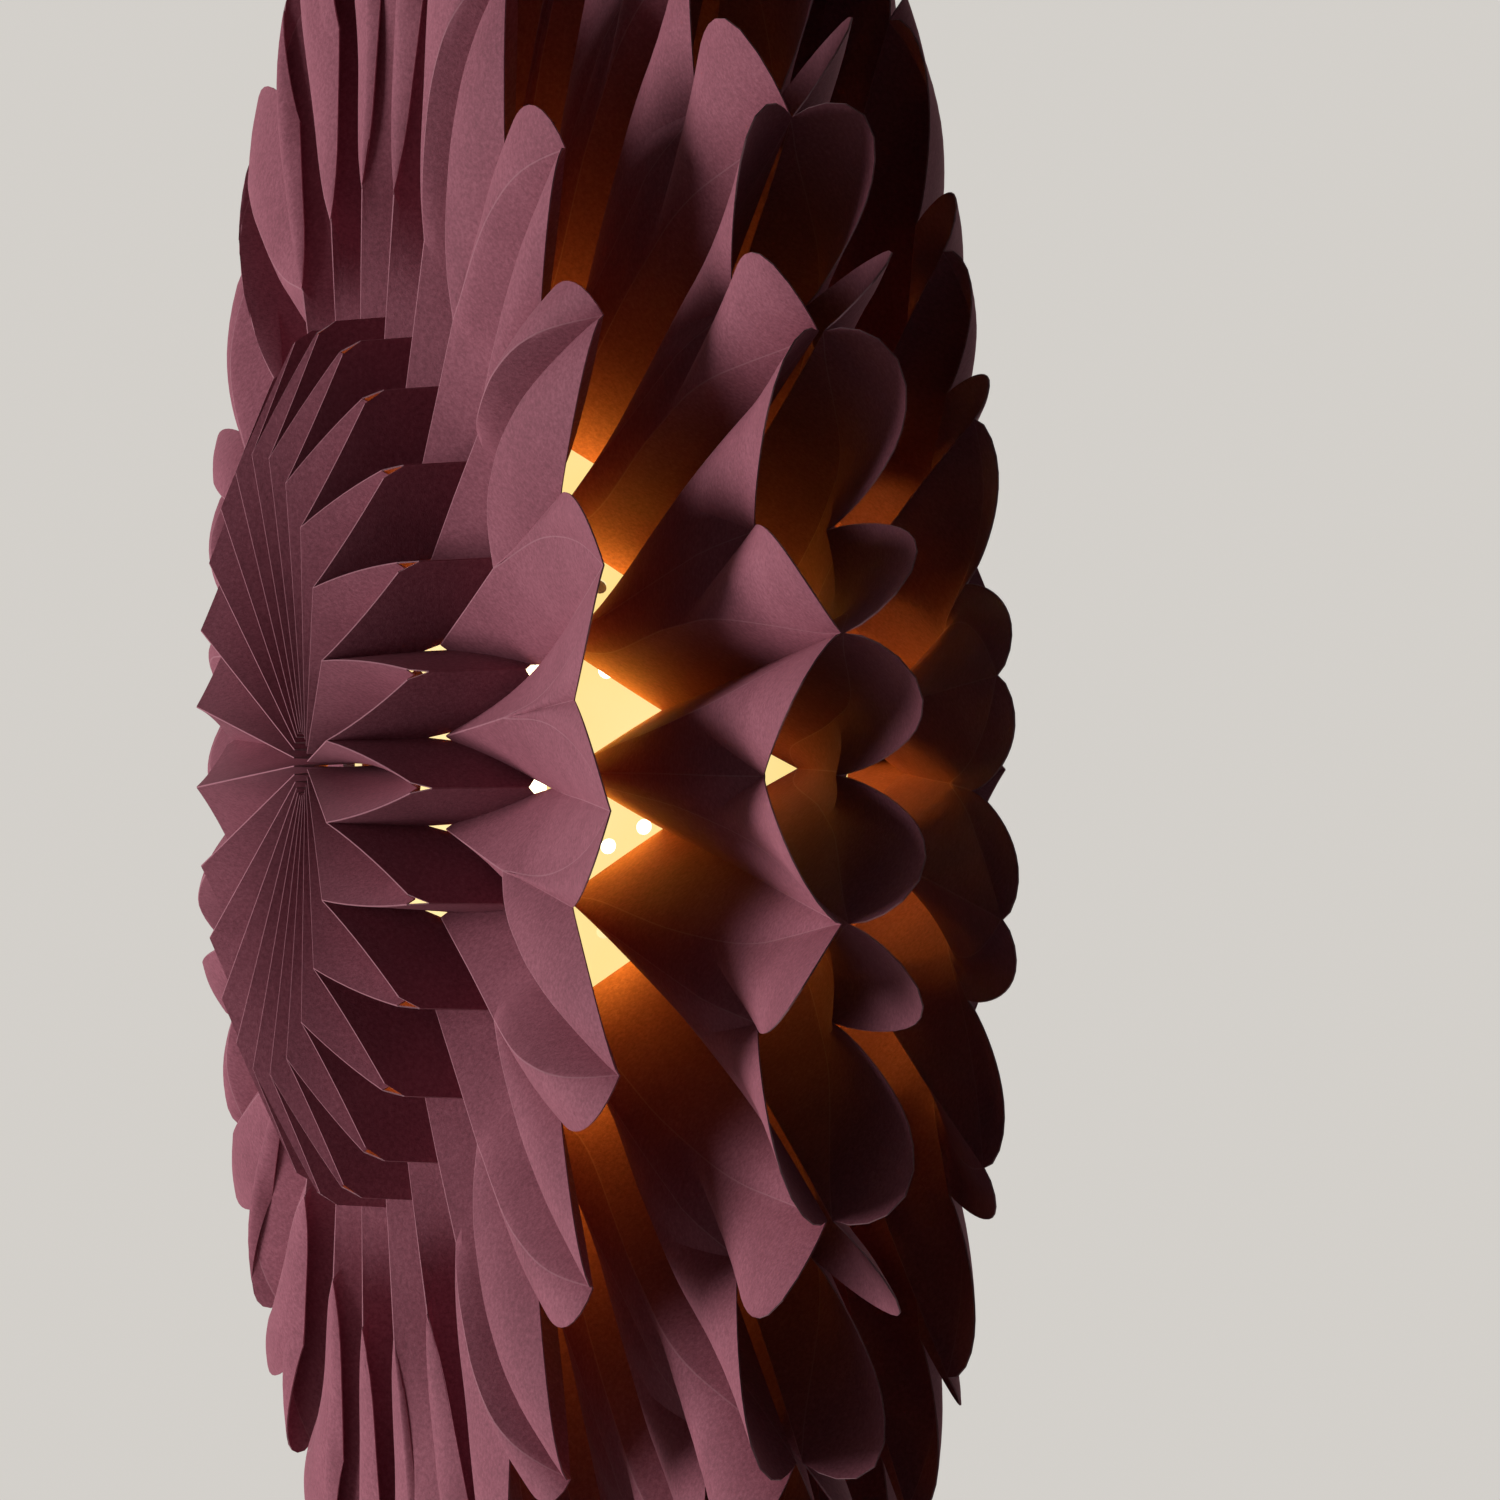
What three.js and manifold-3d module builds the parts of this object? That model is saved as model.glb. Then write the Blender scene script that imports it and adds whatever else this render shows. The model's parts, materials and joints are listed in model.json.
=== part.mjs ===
// Pendant lamp: a folded paper flower seen from its side. Four pleated sheets stand round an
// opal drum, whose axis lies along Y. A lampholder hangs in the drum from a steel bridge.
// Lengths are millimetres. +Z is up, -Y is the front, and the origin is the top of the cord gland.
import * as THREE from 'three';
import { mergeVertices } from 'three/addons/utils/BufferGeometryUtils.js';
import Module from 'manifold-3d';

const wasm = await Module();
wasm.setup();

// Overall layout
const pleatCount = 24;
const fullTurn = 2 * Math.PI;
const pleatAngle = fullTurn / pleatCount;
const seatGap = 0.3;
const cutOverrun = 1;
const mergeTolerance = 0.001;
const turningSides = 32;
const smallSides = 16;
const nutSides = 6;

// Paper
const paperThickness = 0.8;
const foldRoundingShare = 0.02;
const rimPoints = 4;
const lobeFullnessShare = 0.7;

// Opal drum and its hoops
const drumRadius = 111.2;
const drumHalfLength = 38;
const drumWall = 0.8;
const drumSides = 96;
const glandHoleRadius = 14;
const hoopWireRadius = 1.5;
const hoopEndInset = 1.2;
const hoopSides = 48;
const hoopWireSides = 6;

// Rosette: the sheet that closes each end of the drum. Reaches are measured forwards
// from the drum's end, steps are measured along the radius.
const frontRosetteTurn = 5 * Math.PI / 180;
const rearRosetteTurn = -2 * Math.PI / 180;
const hubRadius = 8;
const hubRidgeReach = 38.9;
const hubGrooveReach = 13.6;
const crownRadius = 77.5;
const crownReach = 48.4;
const shoulderStep = 2;
const shoulderReach = 32.6;
const cupFoldRadius = 84.3;
const cupFoldReach = 20.4;
const petalBendRadius = 160;
const petalBendReach = 15.2;
const petalGrooveRise = 0.2;
const petalNotchRadius = 195;
const petalNotchReach = 12.8;
const petalTipRadius = 230;
const petalTipReach = 5.6;
const petalLobeBulge = 15;
const petalLobeFlare = 3.5;
const shoulderCutLength = 3.6;
const cupCutLength = 4;
const seatCutLength = 5;
const seatSink = 1.5;
const hubDiscRadius = 15;
const hubDiscThickness = 1.2;

// Collar: the sheet that stands out from the drum's middle, tip to tip with its twin
const collarTurn = -0.5 * Math.PI / 180;
const collarGrooveReach = 8.5;
const collarRidgeStep = 8;
const collarRidgeReach = 34;
const collarBendRadius = 200;
const collarBendReach = 18.4;
const collarGrooveBendReach = 4.2;
const collarNotchRadius = 230;
const collarNotchReach = 10;
const collarTipRadius = 272;
const collarLobeBulge = 34;
const collarLobeFlare = 11;

// Steel bridge across the top of the drum, with its screws
const bridgeWidth = 16;
const bridgeThickness = 1.5;
const bridgeScrewInset = 9;
const screwRadius = 1.5;
const screwHeadRadius = 2.8;
const screwHeadHeight = 1.6;
const screwNutRadius = 3.1;
const screwNutHeight = 2.4;
const screwTail = 1.2;
const turningGap = 0.05;

// Cord entry: nipple, nut, gland, gland nut and grip screw
const nippleRadius = 5;
const nippleBoreRadius = 3.6;
const nippleAboveNut = 5;
const nippleInCap = 8;
const nippleNutRadius = 8;
const nippleNutHeight = 3.5;
const glandRadius = 9;
const glandHeight = 12;
const glandNeckRadius = 6.4;
const glandNeckHeight = 3.5;
const glandNutRadius = 8.4;
const glandNutHeight = 8;
const glandNutTop = 1.8;
const gripScrewRadius = 1.6;
const gripScrewHeadRadius = 2.4;
const gripScrewHeadHeight = 1.5;
const gripScrewReach = 4;

// Lampholder for a large screw cap
const capTopRadius = 9.5;
const capRadius = 21;
const capShoulderDrop = 6;
const capHeight = 25;
const capWall = 2;
const shellRadius = 20;
const shellLipRadius = 21.5;
const shellLipHeight = 3;
const shellHeight = 34;
const insulatorRadius = 16.5;
const insulatorHeight = 11;
const insulatorDrop = 1.6;
const contactWidth = 4.5;
const contactLength = 16;
const contactThickness = 0.8;
const contactDrop = 1.4;
const contactPostRadius = 1.8;
const sleeveWall = 0.6;
const sleeveHeight = 16;
const terminalOffset = 10;
const terminalScrewRadius = 1.6;
const terminalHeadRadius = 2.6;
const terminalHeadHeight = 1.8;
const terminalDepth = 5;

// Bulb with a round glass, 60 mm across
const bulbCapRadius = 13.2;
const bulbCapWall = 0.6;
const bulbCapHeight = 24;
const bulbCapTaper = 4;
const bulbInsulatorHeight = 2.5;
const bulbInsulatorRadius = 9.5;
const bulbTipRadius = 4.8;
const bulbTipHeight = 1.4;
const bulbNeckRadius = 12.2;
const bulbNeckOverlap = 6;
const globeRadius = 30;
const globeWall = 0.8;
const globeDrop = 43;
const globeSteps = 9;
const globeNeckAngle = 48 * Math.PI / 180;
const neckBlendSteps = 5;
const neckBlendLean = 8;
const neckBlendRise = 30;
const neckBlendTop = 36;
const stemRadius = 4;
const stemFlareRadius = 11.1;
const stemFlareHeight = 2;
const stemHeight = 42;
const filamentCount = 4;
const filamentRadius = 0.9;
const filamentSpread = 10;
const filamentInset = 7;
const filamentShoulder = 6;
const filamentSides = 6;
const filamentSteps = 12;

// Places on the drum's axis frame, from the top of the drum downwards
const seatPlane = drumHalfLength + seatGap + paperThickness / 2 - seatSink;
const hoopRadius = drumRadius - drumWall - seatGap - hoopWireRadius;
const bridgeHalfLength = drumHalfLength - hoopEndInset;
const bridgeTop = Math.sqrt((hoopRadius - hoopWireRadius) ** 2 - (bridgeWidth / 2) ** 2) - seatGap;
const bridgeBottom = bridgeTop - bridgeThickness;
const nippleNutBottom = bridgeTop + seatGap;
const nippleTop = nippleNutBottom + nippleNutHeight + nippleAboveNut;
const glandBottom = nippleNutBottom + nippleNutHeight + seatGap;
const glandTop = glandBottom + glandHeight + glandNeckHeight;
const glandNutBottom = glandBottom + glandHeight + seatGap;
const entryTop = glandNutBottom + glandNutHeight;
const holderTop = bridgeBottom - seatGap;
const shellTop = holderTop - capHeight - seatGap;
const insulatorTop = shellTop - insulatorDrop;
const insulatorBottom = insulatorTop - insulatorHeight;
const contactBottom = insulatorBottom - contactDrop - contactThickness;
const sleeveRadius = bulbCapRadius + seatGap + sleeveWall;
const bulbTop = contactBottom - seatGap;
const bulbCapTop = bulbTop - bulbTipHeight - seatGap - bulbInsulatorHeight - seatGap;
const bulbCapBottom = bulbCapTop - bulbCapHeight;
const neckTop = bulbCapBottom + bulbNeckOverlap;
const globeCentre = neckTop - globeDrop;

// Materials
const plumPaper = new THREE.MeshStandardMaterial({ color: 0x6e3f52, roughness: 0.85 });
const cardBoard = new THREE.MeshStandardMaterial({ color: 0x5a3444, roughness: 0.9 });
const opalSheet = new THREE.MeshStandardMaterial({
  color: 0xffe9b8, roughness: 0.6, emissive: 0xffd98a, emissiveIntensity: 0.6,
});
const zincSteel = new THREE.MeshStandardMaterial({ color: 0xb9bcc0, roughness: 0.35, metalness: 1 });
const brass = new THREE.MeshStandardMaterial({ color: 0xc9a227, roughness: 0.3, metalness: 1 });
const blackPlastic = new THREE.MeshStandardMaterial({ color: 0x1c1c1e, roughness: 0.5 });
const whiteCeramic = new THREE.MeshStandardMaterial({ color: 0xeeeae0, roughness: 0.4 });
const clearGlass = new THREE.MeshStandardMaterial({
  color: 0xf2f4f2, roughness: 0.05, transparent: true, opacity: 0.35,
});
const glowFilament = new THREE.MeshStandardMaterial({ color: 0xffc46b, emissive: 0xffb545 });

const lamp = new THREE.Group();
const drumFrame = new THREE.Group();
drumFrame.position.z = -entryTop;
lamp.add(drumFrame);

function add(name, geometry, material, parent = drumFrame) {
  const mesh = new THREE.Mesh(geometry, material);
  mesh.name = name;
  parent.add(mesh);
  return mesh;
}

// Boolean cuts
function bare(geometry) {
  const plain = geometry.clone();
  plain.deleteAttribute('normal');
  plain.deleteAttribute('uv');
  return mergeVertices(plain, mergeTolerance);
}

function toSolid(geometry) {
  const merged = bare(geometry);
  return new wasm.Manifold(new wasm.Mesh({
    numProp: 3,
    vertProperties: new Float32Array(merged.attributes.position.array),
    triVerts: new Uint32Array(merged.index.array),
  }));
}

function fromSolid(solid) {
  const shape = solid.getMesh();
  const geometry = new THREE.BufferGeometry();
  geometry.setAttribute('position', new THREE.BufferAttribute(new Float32Array(shape.vertProperties), 3));
  geometry.setIndex(new THREE.BufferAttribute(new Uint32Array(shape.triVerts), 1));
  geometry.computeVertexNormals();
  return geometry;
}

function cut(body, tools) {
  let solid = toSolid(body);
  for (const tool of tools) {
    solid = solid.subtract(toSolid(tool));
  }
  return fromSolid(solid);
}

function join(parts) {
  let solid = toSolid(parts[0]);
  for (const part of parts.slice(1)) {
    solid = solid.add(toSolid(part));
  }
  return fromSolid(solid);
}

// Round bodies along Z, from [radius, height] points that close on themselves or on the axis
function turned(points, sides = turningSides) {
  const profile = points.map(([radius, height]) => new THREE.Vector2(radius, height));
  const geometry = new THREE.LatheGeometry(profile, sides);
  geometry.rotateX(Math.PI / 2);
  return bare(geometry);
}

function rod(radius, bottom, top, sides = smallSides) {
  return turned([[0, bottom], [radius, bottom], [radius, top], [0, top]], sides);
}

function tube(innerRadius, outerRadius, bottom, top, sides = turningSides) {
  return turned([
    [innerRadius, bottom], [outerRadius, bottom], [outerRadius, top], [innerRadius, top],
    [innerRadius, bottom],
  ], sides);
}

function hexNut(boreRadius, outerRadius, bottom, top) {
  const bore = rod(boreRadius, bottom - cutOverrun, top + cutOverrun, turningSides);
  return cut(rod(outerRadius, bottom, top, nutSides), [bore]);
}

function block(width, depth, bottom, top) {
  const geometry = new THREE.BoxGeometry(width, depth, top - bottom);
  geometry.translate(0, 0, (bottom + top) / 2);
  return geometry;
}

// Pleated sheets. A fold point has a radius, a reach in front of the sheet's own plane and a
// turn, which is 0 on the ridge ray of its pleat and 1 on the groove ray.
const fold = (radius, reach, turn) => ({ radius, reach, turn });

function placeFold(point, pleat, side, sheet) {
  const angle = sheet.turn + pleat * pleatAngle + side * point.turn * pleatAngle / 2;
  const depth = sheet.plane + point.reach;
  return new THREE.Vector3(
    point.radius * Math.cos(angle), -depth * sheet.facing, point.radius * Math.sin(angle),
  );
}

function along(from, to, distance) {
  return from.clone().lerp(to, distance / from.distanceTo(to));
}

function rimOf(notch, tip, bulge, flare) {
  const points = [];
  for (let step = 1; step <= rimPoints; step += 1) {
    const share = step / (rimPoints + 1);
    const swell = Math.sin(Math.PI * share) ** lobeFullnessShare;
    points.push(fold(
      notch.radius + (tip.radius - notch.radius) * share + bulge * swell,
      notch.reach + (tip.reach - notch.reach) * share + flare * swell,
      share,
    ));
  }
  return points;
}

// Gives a sheet of triangles its thickness, half to each side of the fold surface
function thicken(triangles) {
  const middle = new THREE.BufferGeometry();
  const flat = triangles.flat().flatMap((corner) => corner.toArray());
  middle.setAttribute('position', new THREE.BufferAttribute(new Float32Array(flat), 3));
  const merged = mergeVertices(middle, mergeTolerance);
  const place = merged.attributes.position;
  const index = merged.index.array;
  const pulls = Array.from({ length: place.count }, () => ({ matrix: new Array(9).fill(0), sum: [0, 0, 0] }));
  const edges = new Map();
  const corner = [new THREE.Vector3(), new THREE.Vector3(), new THREE.Vector3()];
  for (let start = 0; start < index.length; start += 3) {
    const ids = [index[start], index[start + 1], index[start + 2]];
    ids.forEach((id, slot) => corner[slot].fromBufferAttribute(place, id));
    const normal = corner[1].clone().sub(corner[0]).cross(corner[2].clone().sub(corner[0])).normalize();
    const n = normal.toArray();
    ids.forEach((id, slot) => {
      const next = ids[(slot + 1) % 3];
      edges.set(`${id}_${next}`, [id, next]);
      for (let row = 0; row < 3; row += 1) {
        pulls[id].sum[row] += n[row];
        for (let column = 0; column < 3; column += 1) {
          pulls[id].matrix[row * 3 + column] += n[row] * n[column];
        }
      }
    });
  }
  const shift = pulls.map(({ matrix, sum }) => {
    const weight = matrix[0] + matrix[4] + matrix[8];
    const damped = matrix.map((value, spot) => value + (spot % 4 === 0 ? weight * foldRoundingShare : 0));
    const solver = new THREE.Matrix3().fromArray(damped).invert();
    return new THREE.Vector3(...sum).applyMatrix3(solver).multiplyScalar(paperThickness / 2);
  });
  const vertices = [];
  for (const sign of [1, -1]) {
    for (let id = 0; id < place.count; id += 1) {
      const point = new THREE.Vector3().fromBufferAttribute(place, id);
      vertices.push(...point.addScaledVector(shift[id], sign).toArray());
    }
  }
  const faces = [];
  const back = place.count;
  for (let start = 0; start < index.length; start += 3) {
    const [a, b, c] = [index[start], index[start + 1], index[start + 2]];
    faces.push(a, b, c, back + a, back + c, back + b);
  }
  for (const [from, to] of edges.values()) {
    if (!edges.has(`${to}_${from}`)) {
      faces.push(from, back + from, to, to, back + from, back + to);
    }
  }
  const geometry = new THREE.BufferGeometry();
  geometry.setAttribute('position', new THREE.BufferAttribute(new Float32Array(vertices), 3));
  geometry.setIndex(faces);
  geometry.computeVertexNormals();
  return geometry;
}

function fan(points) {
  return points.slice(1, -1).map((point, step) => [points[0], point, points[step + 2]]);
}

// Builds every half pleat of a sheet from a function that gives one half pleat's panels
function pleatedSheet(sheet, panelsOf) {
  const triangles = [];
  for (let pleat = 0; pleat < pleatCount; pleat += 1) {
    for (const side of [1, -1]) {
      const at = (point) => placeFold(point, pleat, side, sheet);
      for (const panel of panelsOf(at)) {
        const flips = side * sheet.facing < 0;
        triangles.push(...fan(panel).map((face) => (flips ? [face[0], face[2], face[1]] : face)));
      }
    }
  }
  return thicken(triangles);
}

function rosetteGeometry(facing) {
  const turn = facing > 0 ? frontRosetteTurn : rearRosetteTurn;
  const sheet = { turn, plane: seatPlane, facing };
  const seatRadius = drumRadius + seatGap + paperThickness;
  const hubRidge = fold(hubRadius, hubRidgeReach, 0);
  const hubGroove = fold(hubRadius, hubGrooveReach, 1);
  const crown = fold(crownRadius, crownReach, 0);
  const shoulder = fold(seatRadius - shoulderStep, shoulderReach, 1);
  const cup = fold(cupFoldRadius, cupFoldReach, 0);
  const seat = fold(seatRadius, 0, 1);
  const bend = fold(petalBendRadius, petalBendReach, 0);
  const groove = fold(petalBendRadius, petalGrooveRise, 1);
  const notch = fold(petalNotchRadius, petalNotchReach, 0);
  const tip = fold(petalTipRadius, petalTipReach, 1);
  const rim = rimOf(notch, tip, petalLobeBulge, petalLobeFlare);
  return pleatedSheet(sheet, (at) => {
    const shoulderIn = along(at(shoulder), at(hubGroove), shoulderCutLength);
    const shoulderSide = along(at(shoulder), at(crown), shoulderCutLength);
    const shoulderOut = along(at(shoulder), at(seat), shoulderCutLength);
    const cupIn = along(at(cup), at(crown), cupCutLength);
    const cupSide = along(at(cup), at(seat), cupCutLength);
    const cupOut = along(at(cup), at(bend), cupCutLength);
    const seatIn = along(at(seat), at(shoulder), seatCutLength);
    const seatSide = along(at(seat), at(cup), seatCutLength);
    const seatOut = along(at(seat), at(groove), seatCutLength);
    return [
      [at(hubRidge), at(crown), shoulderSide, shoulderIn, at(hubGroove)],
      [shoulderOut, shoulderSide, at(crown), cupIn, cupSide, seatSide, seatIn],
      [at(bend), at(tip), at(groove), seatOut, seatSide, cupSide, cupOut],
      [at(bend), at(notch), ...rim.map(at), at(tip)],
    ];
  });
}

function collarGeometry(facing) {
  const sheet = { turn: collarTurn, plane: 0, facing };
  const tipReach = (seatGap + paperThickness) / 2;
  const inner = drumRadius + seatGap + paperThickness / 2;
  const groove = fold(inner, collarGrooveReach, 1);
  const ridge = fold(inner + collarRidgeStep, collarRidgeReach, 0);
  const bend = fold(collarBendRadius, collarBendReach, 0);
  const grooveBend = fold(collarBendRadius, collarGrooveBendReach, 1);
  const notch = fold(collarNotchRadius, collarNotchReach, 0);
  const tip = fold(collarTipRadius, tipReach, 1);
  const rim = rimOf(notch, tip, collarLobeBulge, collarLobeFlare);
  return pleatedSheet(sheet, (at) => [
    [at(bend), at(tip), at(grooveBend), at(groove), at(ridge)],
    [at(bend), at(notch), ...rim.map(at), at(tip)],
  ]);
}

// Turns a body made along +Z so that it points along the lamp's front (1) or rear (-1)
function faceAlongY(mesh, facing) {
  mesh.rotation.x = facing * Math.PI / 2;
  return mesh;
}

function drumGeometry() {
  const wall = tube(drumRadius - drumWall, drumRadius, -drumHalfLength, drumHalfLength, drumSides);
  wall.rotateX(Math.PI / 2);
  const tools = [rod(glandHoleRadius, 0, drumRadius + cutOverrun, turningSides)];
  for (const facing of [1, -1]) {
    const hole = rod(screwRadius + seatGap, 0, drumRadius + cutOverrun, smallSides);
    hole.translate(0, -facing * (bridgeHalfLength - bridgeScrewInset), 0);
    tools.push(hole);
  }
  return cut(wall, tools);
}

function hoopGeometry() {
  const points = [];
  for (let step = 0; step <= hoopWireSides; step += 1) {
    const angle = -fullTurn * step / hoopWireSides;
    points.push([hoopRadius + hoopWireRadius * Math.cos(angle), hoopWireRadius * Math.sin(angle)]);
  }
  return turned(points.reverse(), hoopSides);
}

function bridgeGeometry() {
  const strap = block(bridgeWidth, 2 * bridgeHalfLength, bridgeBottom, bridgeTop);
  const tools = [rod(nippleRadius + seatGap, bridgeBottom - cutOverrun, bridgeTop + cutOverrun, turningSides)];
  for (const facing of [1, -1]) {
    const hole = rod(screwRadius + seatGap, bridgeBottom - cutOverrun, bridgeTop + cutOverrun);
    hole.translate(0, -facing * (bridgeHalfLength - bridgeScrewInset), 0);
    tools.push(hole);
  }
  return cut(strap, tools);
}

function addShade() {
  for (const [side, facing] of [['front', 1], ['rear', -1]]) {
    add(`${side}_rosette`, rosetteGeometry(facing), plumPaper);
    add(`${side}_collar`, collarGeometry(facing), plumPaper);
    const disc = rod(hubDiscRadius, 0, hubDiscThickness, turningSides);
    const discTop = seatPlane + hubGrooveReach - paperThickness - seatGap;
    faceAlongY(add(`${side}_hub_disc`, disc, cardBoard), facing).position.y = -facing * (discTop - hubDiscThickness);
    const hoop = faceAlongY(add(`${side}_hoop`, hoopGeometry(), zincSteel), facing);
    hoop.position.y = -facing * (drumHalfLength - hoopEndInset - hoopWireRadius);
    const y = -facing * (bridgeHalfLength - bridgeScrewInset);
    const head = rod(screwHeadRadius, drumRadius + turningGap, drumRadius + turningGap + screwHeadHeight);
    const shank = rod(screwRadius, bridgeBottom - turningGap - screwNutHeight - screwTail, drumRadius + screwHeadHeight / 2);
    add(`${side}_bridge_screw`, join([head, shank]), zincSteel).position.y = y;
    const nutTop = bridgeBottom - turningGap;
    const nut = hexNut(screwRadius + turningGap, screwNutRadius, nutTop - screwNutHeight, nutTop);
    add(`${side}_bridge_nut`, nut, zincSteel).position.y = y;
  }
  add('opal_drum', drumGeometry(), opalSheet);
  add('holder_bridge', bridgeGeometry(), zincSteel);
}

function addCordEntry() {
  const nippleBottom = holderTop - nippleInCap;
  add('threaded_nipple', tube(nippleBoreRadius, nippleRadius, nippleBottom, nippleTop), zincSteel);
  const nutBore = nippleRadius + turningGap;
  const nutTop = nippleNutBottom + nippleNutHeight;
  add('nipple_nut', hexNut(nutBore, nippleNutRadius, nippleNutBottom, nutTop), zincSteel);
  const gripHeight = glandBottom + glandHeight / 2;
  const bodyTop = glandBottom + glandHeight;
  const gland = turned([
    [nutBore, glandBottom], [glandRadius, glandBottom], [glandRadius, bodyTop],
    [glandNeckRadius, bodyTop], [glandNeckRadius, glandTop], [nippleBoreRadius, glandTop],
    [nippleBoreRadius, nippleTop + seatGap], [nutBore, nippleTop + seatGap], [nutBore, glandBottom],
  ]);
  const gripHole = rod(gripScrewRadius + turningGap, 0, glandRadius + cutOverrun);
  gripHole.rotateX(Math.PI / 2);
  gripHole.translate(0, 0, gripHeight);
  add('cord_gland', cut(gland, [gripHole]), blackPlastic);
  const neckBore = glandNeckRadius + turningGap;
  add('gland_nut', turned([
    [neckBore, glandNutBottom], [glandNutRadius, glandNutBottom],
    [glandNutRadius, entryTop - glandNutTop], [glandNutRadius - glandNutTop, entryTop],
    [nippleBoreRadius, entryTop], [nippleBoreRadius, glandTop + seatGap],
    [neckBore, glandTop + seatGap], [neckBore, glandNutBottom],
  ]), blackPlastic);
  const gripTip = glandRadius - gripScrewReach;
  const gripShank = rod(gripScrewRadius, gripTip, glandRadius + gripScrewHeadHeight);
  const gripHead = rod(gripScrewHeadRadius, glandRadius + turningGap, glandRadius + turningGap + gripScrewHeadHeight);
  const grip = faceAlongY(add('grip_screw', join([gripShank, gripHead]), zincSteel), 1);
  grip.position.z = gripHeight;
}

function addHolder() {
  const capBottom = holderTop - capHeight;
  const threadGap = nippleRadius + turningGap;
  const floorTop = holderTop - capWall;
  add('holder_cap', turned([
    [threadGap, holderTop], [threadGap, floorTop], [capTopRadius - capWall, floorTop],
    [capRadius - capWall, holderTop - capShoulderDrop - capWall], [capRadius - capWall, capBottom],
    [capRadius, capBottom], [capRadius, holderTop - capShoulderDrop], [capTopRadius, holderTop],
    [threadGap, holderTop],
  ]), blackPlastic);
  const shellBottom = shellTop - shellHeight;
  const boreRadius = insulatorRadius + seatGap;
  const socketRadius = sleeveRadius + seatGap;
  const ledge = insulatorBottom - seatGap;
  add('holder_shell', turned([
    [boreRadius, shellTop], [boreRadius, ledge], [socketRadius, ledge], [socketRadius, shellBottom],
    [shellLipRadius, shellBottom], [shellLipRadius, shellBottom + shellLipHeight],
    [shellRadius, shellBottom + shellLipHeight], [shellRadius, shellTop], [boreRadius, shellTop],
  ]), blackPlastic);
}

function addHolderInsides() {
  const insulator = rod(insulatorRadius, insulatorBottom, insulatorTop, turningSides);
  const postTop = insulatorTop + turningGap;
  const postHole = rod(contactPostRadius + turningGap, insulatorBottom - cutOverrun, postTop + cutOverrun, turningSides);
  const tools = [postHole];
  for (const side of [1, -1]) {
    const screwHole = rod(
      terminalScrewRadius + turningGap, insulatorTop - terminalDepth - seatGap, insulatorTop + cutOverrun, turningSides,
    );
    screwHole.translate(0, side * terminalOffset, 0);
    tools.push(screwHole);
  }
  add('holder_insulator', cut(insulator, tools), whiteCeramic);
  const strip = block(contactWidth, contactLength, contactBottom, contactBottom + contactThickness);
  const post = rod(contactPostRadius, contactBottom + contactThickness / 2, postTop);
  add('centre_contact', join([strip, post]), brass);
  const sleeveTop = insulatorBottom - seatGap;
  add('screw_sleeve', tube(sleeveRadius - sleeveWall, sleeveRadius, sleeveTop - sleeveHeight, sleeveTop), brass);
  for (const [wire, side] of [['live', 1], ['neutral', -1]]) {
    const headBottom = insulatorTop + turningGap;
    const head = rod(terminalHeadRadius, headBottom, headBottom + terminalHeadHeight);
    const shank = rod(terminalScrewRadius, insulatorTop - terminalDepth, headBottom + terminalHeadHeight / 2);
    add(`terminal_screw_${wire}`, join([head, shank]), brass).position.y = -side * terminalOffset;
  }
}

// Half outline of the bulb's glass, from the bottom of the globe to the top of the neck
function glassOutline(radius, neckRadius) {
  const points = [];
  for (let step = 0; step <= globeSteps; step += 1) {
    const angle = -Math.PI / 2 + (Math.PI / 2 + globeNeckAngle) * step / globeSteps;
    points.push([radius * Math.cos(angle), globeCentre + radius * Math.sin(angle)]);
  }
  points[0][0] = 0;
  const [startRadius, startHeight] = points[globeSteps];
  const blend = new THREE.CubicBezierCurve(
    new THREE.Vector2(startRadius, startHeight),
    new THREE.Vector2(
      startRadius - neckBlendLean * Math.sin(globeNeckAngle),
      startHeight + neckBlendLean * Math.cos(globeNeckAngle),
    ),
    new THREE.Vector2(neckRadius, globeCentre + neckBlendRise),
    new THREE.Vector2(neckRadius, globeCentre + neckBlendTop),
  );
  for (const point of blend.getPoints(neckBlendSteps).slice(1)) {
    points.push([point.x, point.y]);
  }
  points.push([neckRadius, neckTop]);
  return points;
}

function filamentGeometry(top, bottom) {
  const foot = stemRadius + filamentRadius;
  const shape = new THREE.Shape();
  for (let side = 0; side < filamentSides; side += 1) {
    const angle = fullTurn * side / filamentSides;
    const place = [filamentRadius * Math.cos(angle), filamentRadius * Math.sin(angle)];
    if (side === 0) {
      shape.moveTo(...place);
    } else {
      shape.lineTo(...place);
    }
  }
  shape.closePath();
  const extrudePath = new THREE.CatmullRomCurve3([
    new THREE.Vector3(foot, 0, top),
    new THREE.Vector3(filamentSpread, 0, top - filamentShoulder),
    new THREE.Vector3(filamentSpread, 0, bottom + filamentShoulder),
    new THREE.Vector3(foot, 0, bottom),
  ]);
  return bare(new THREE.ExtrudeGeometry(shape, { steps: filamentSteps, extrudePath }));
}

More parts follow.
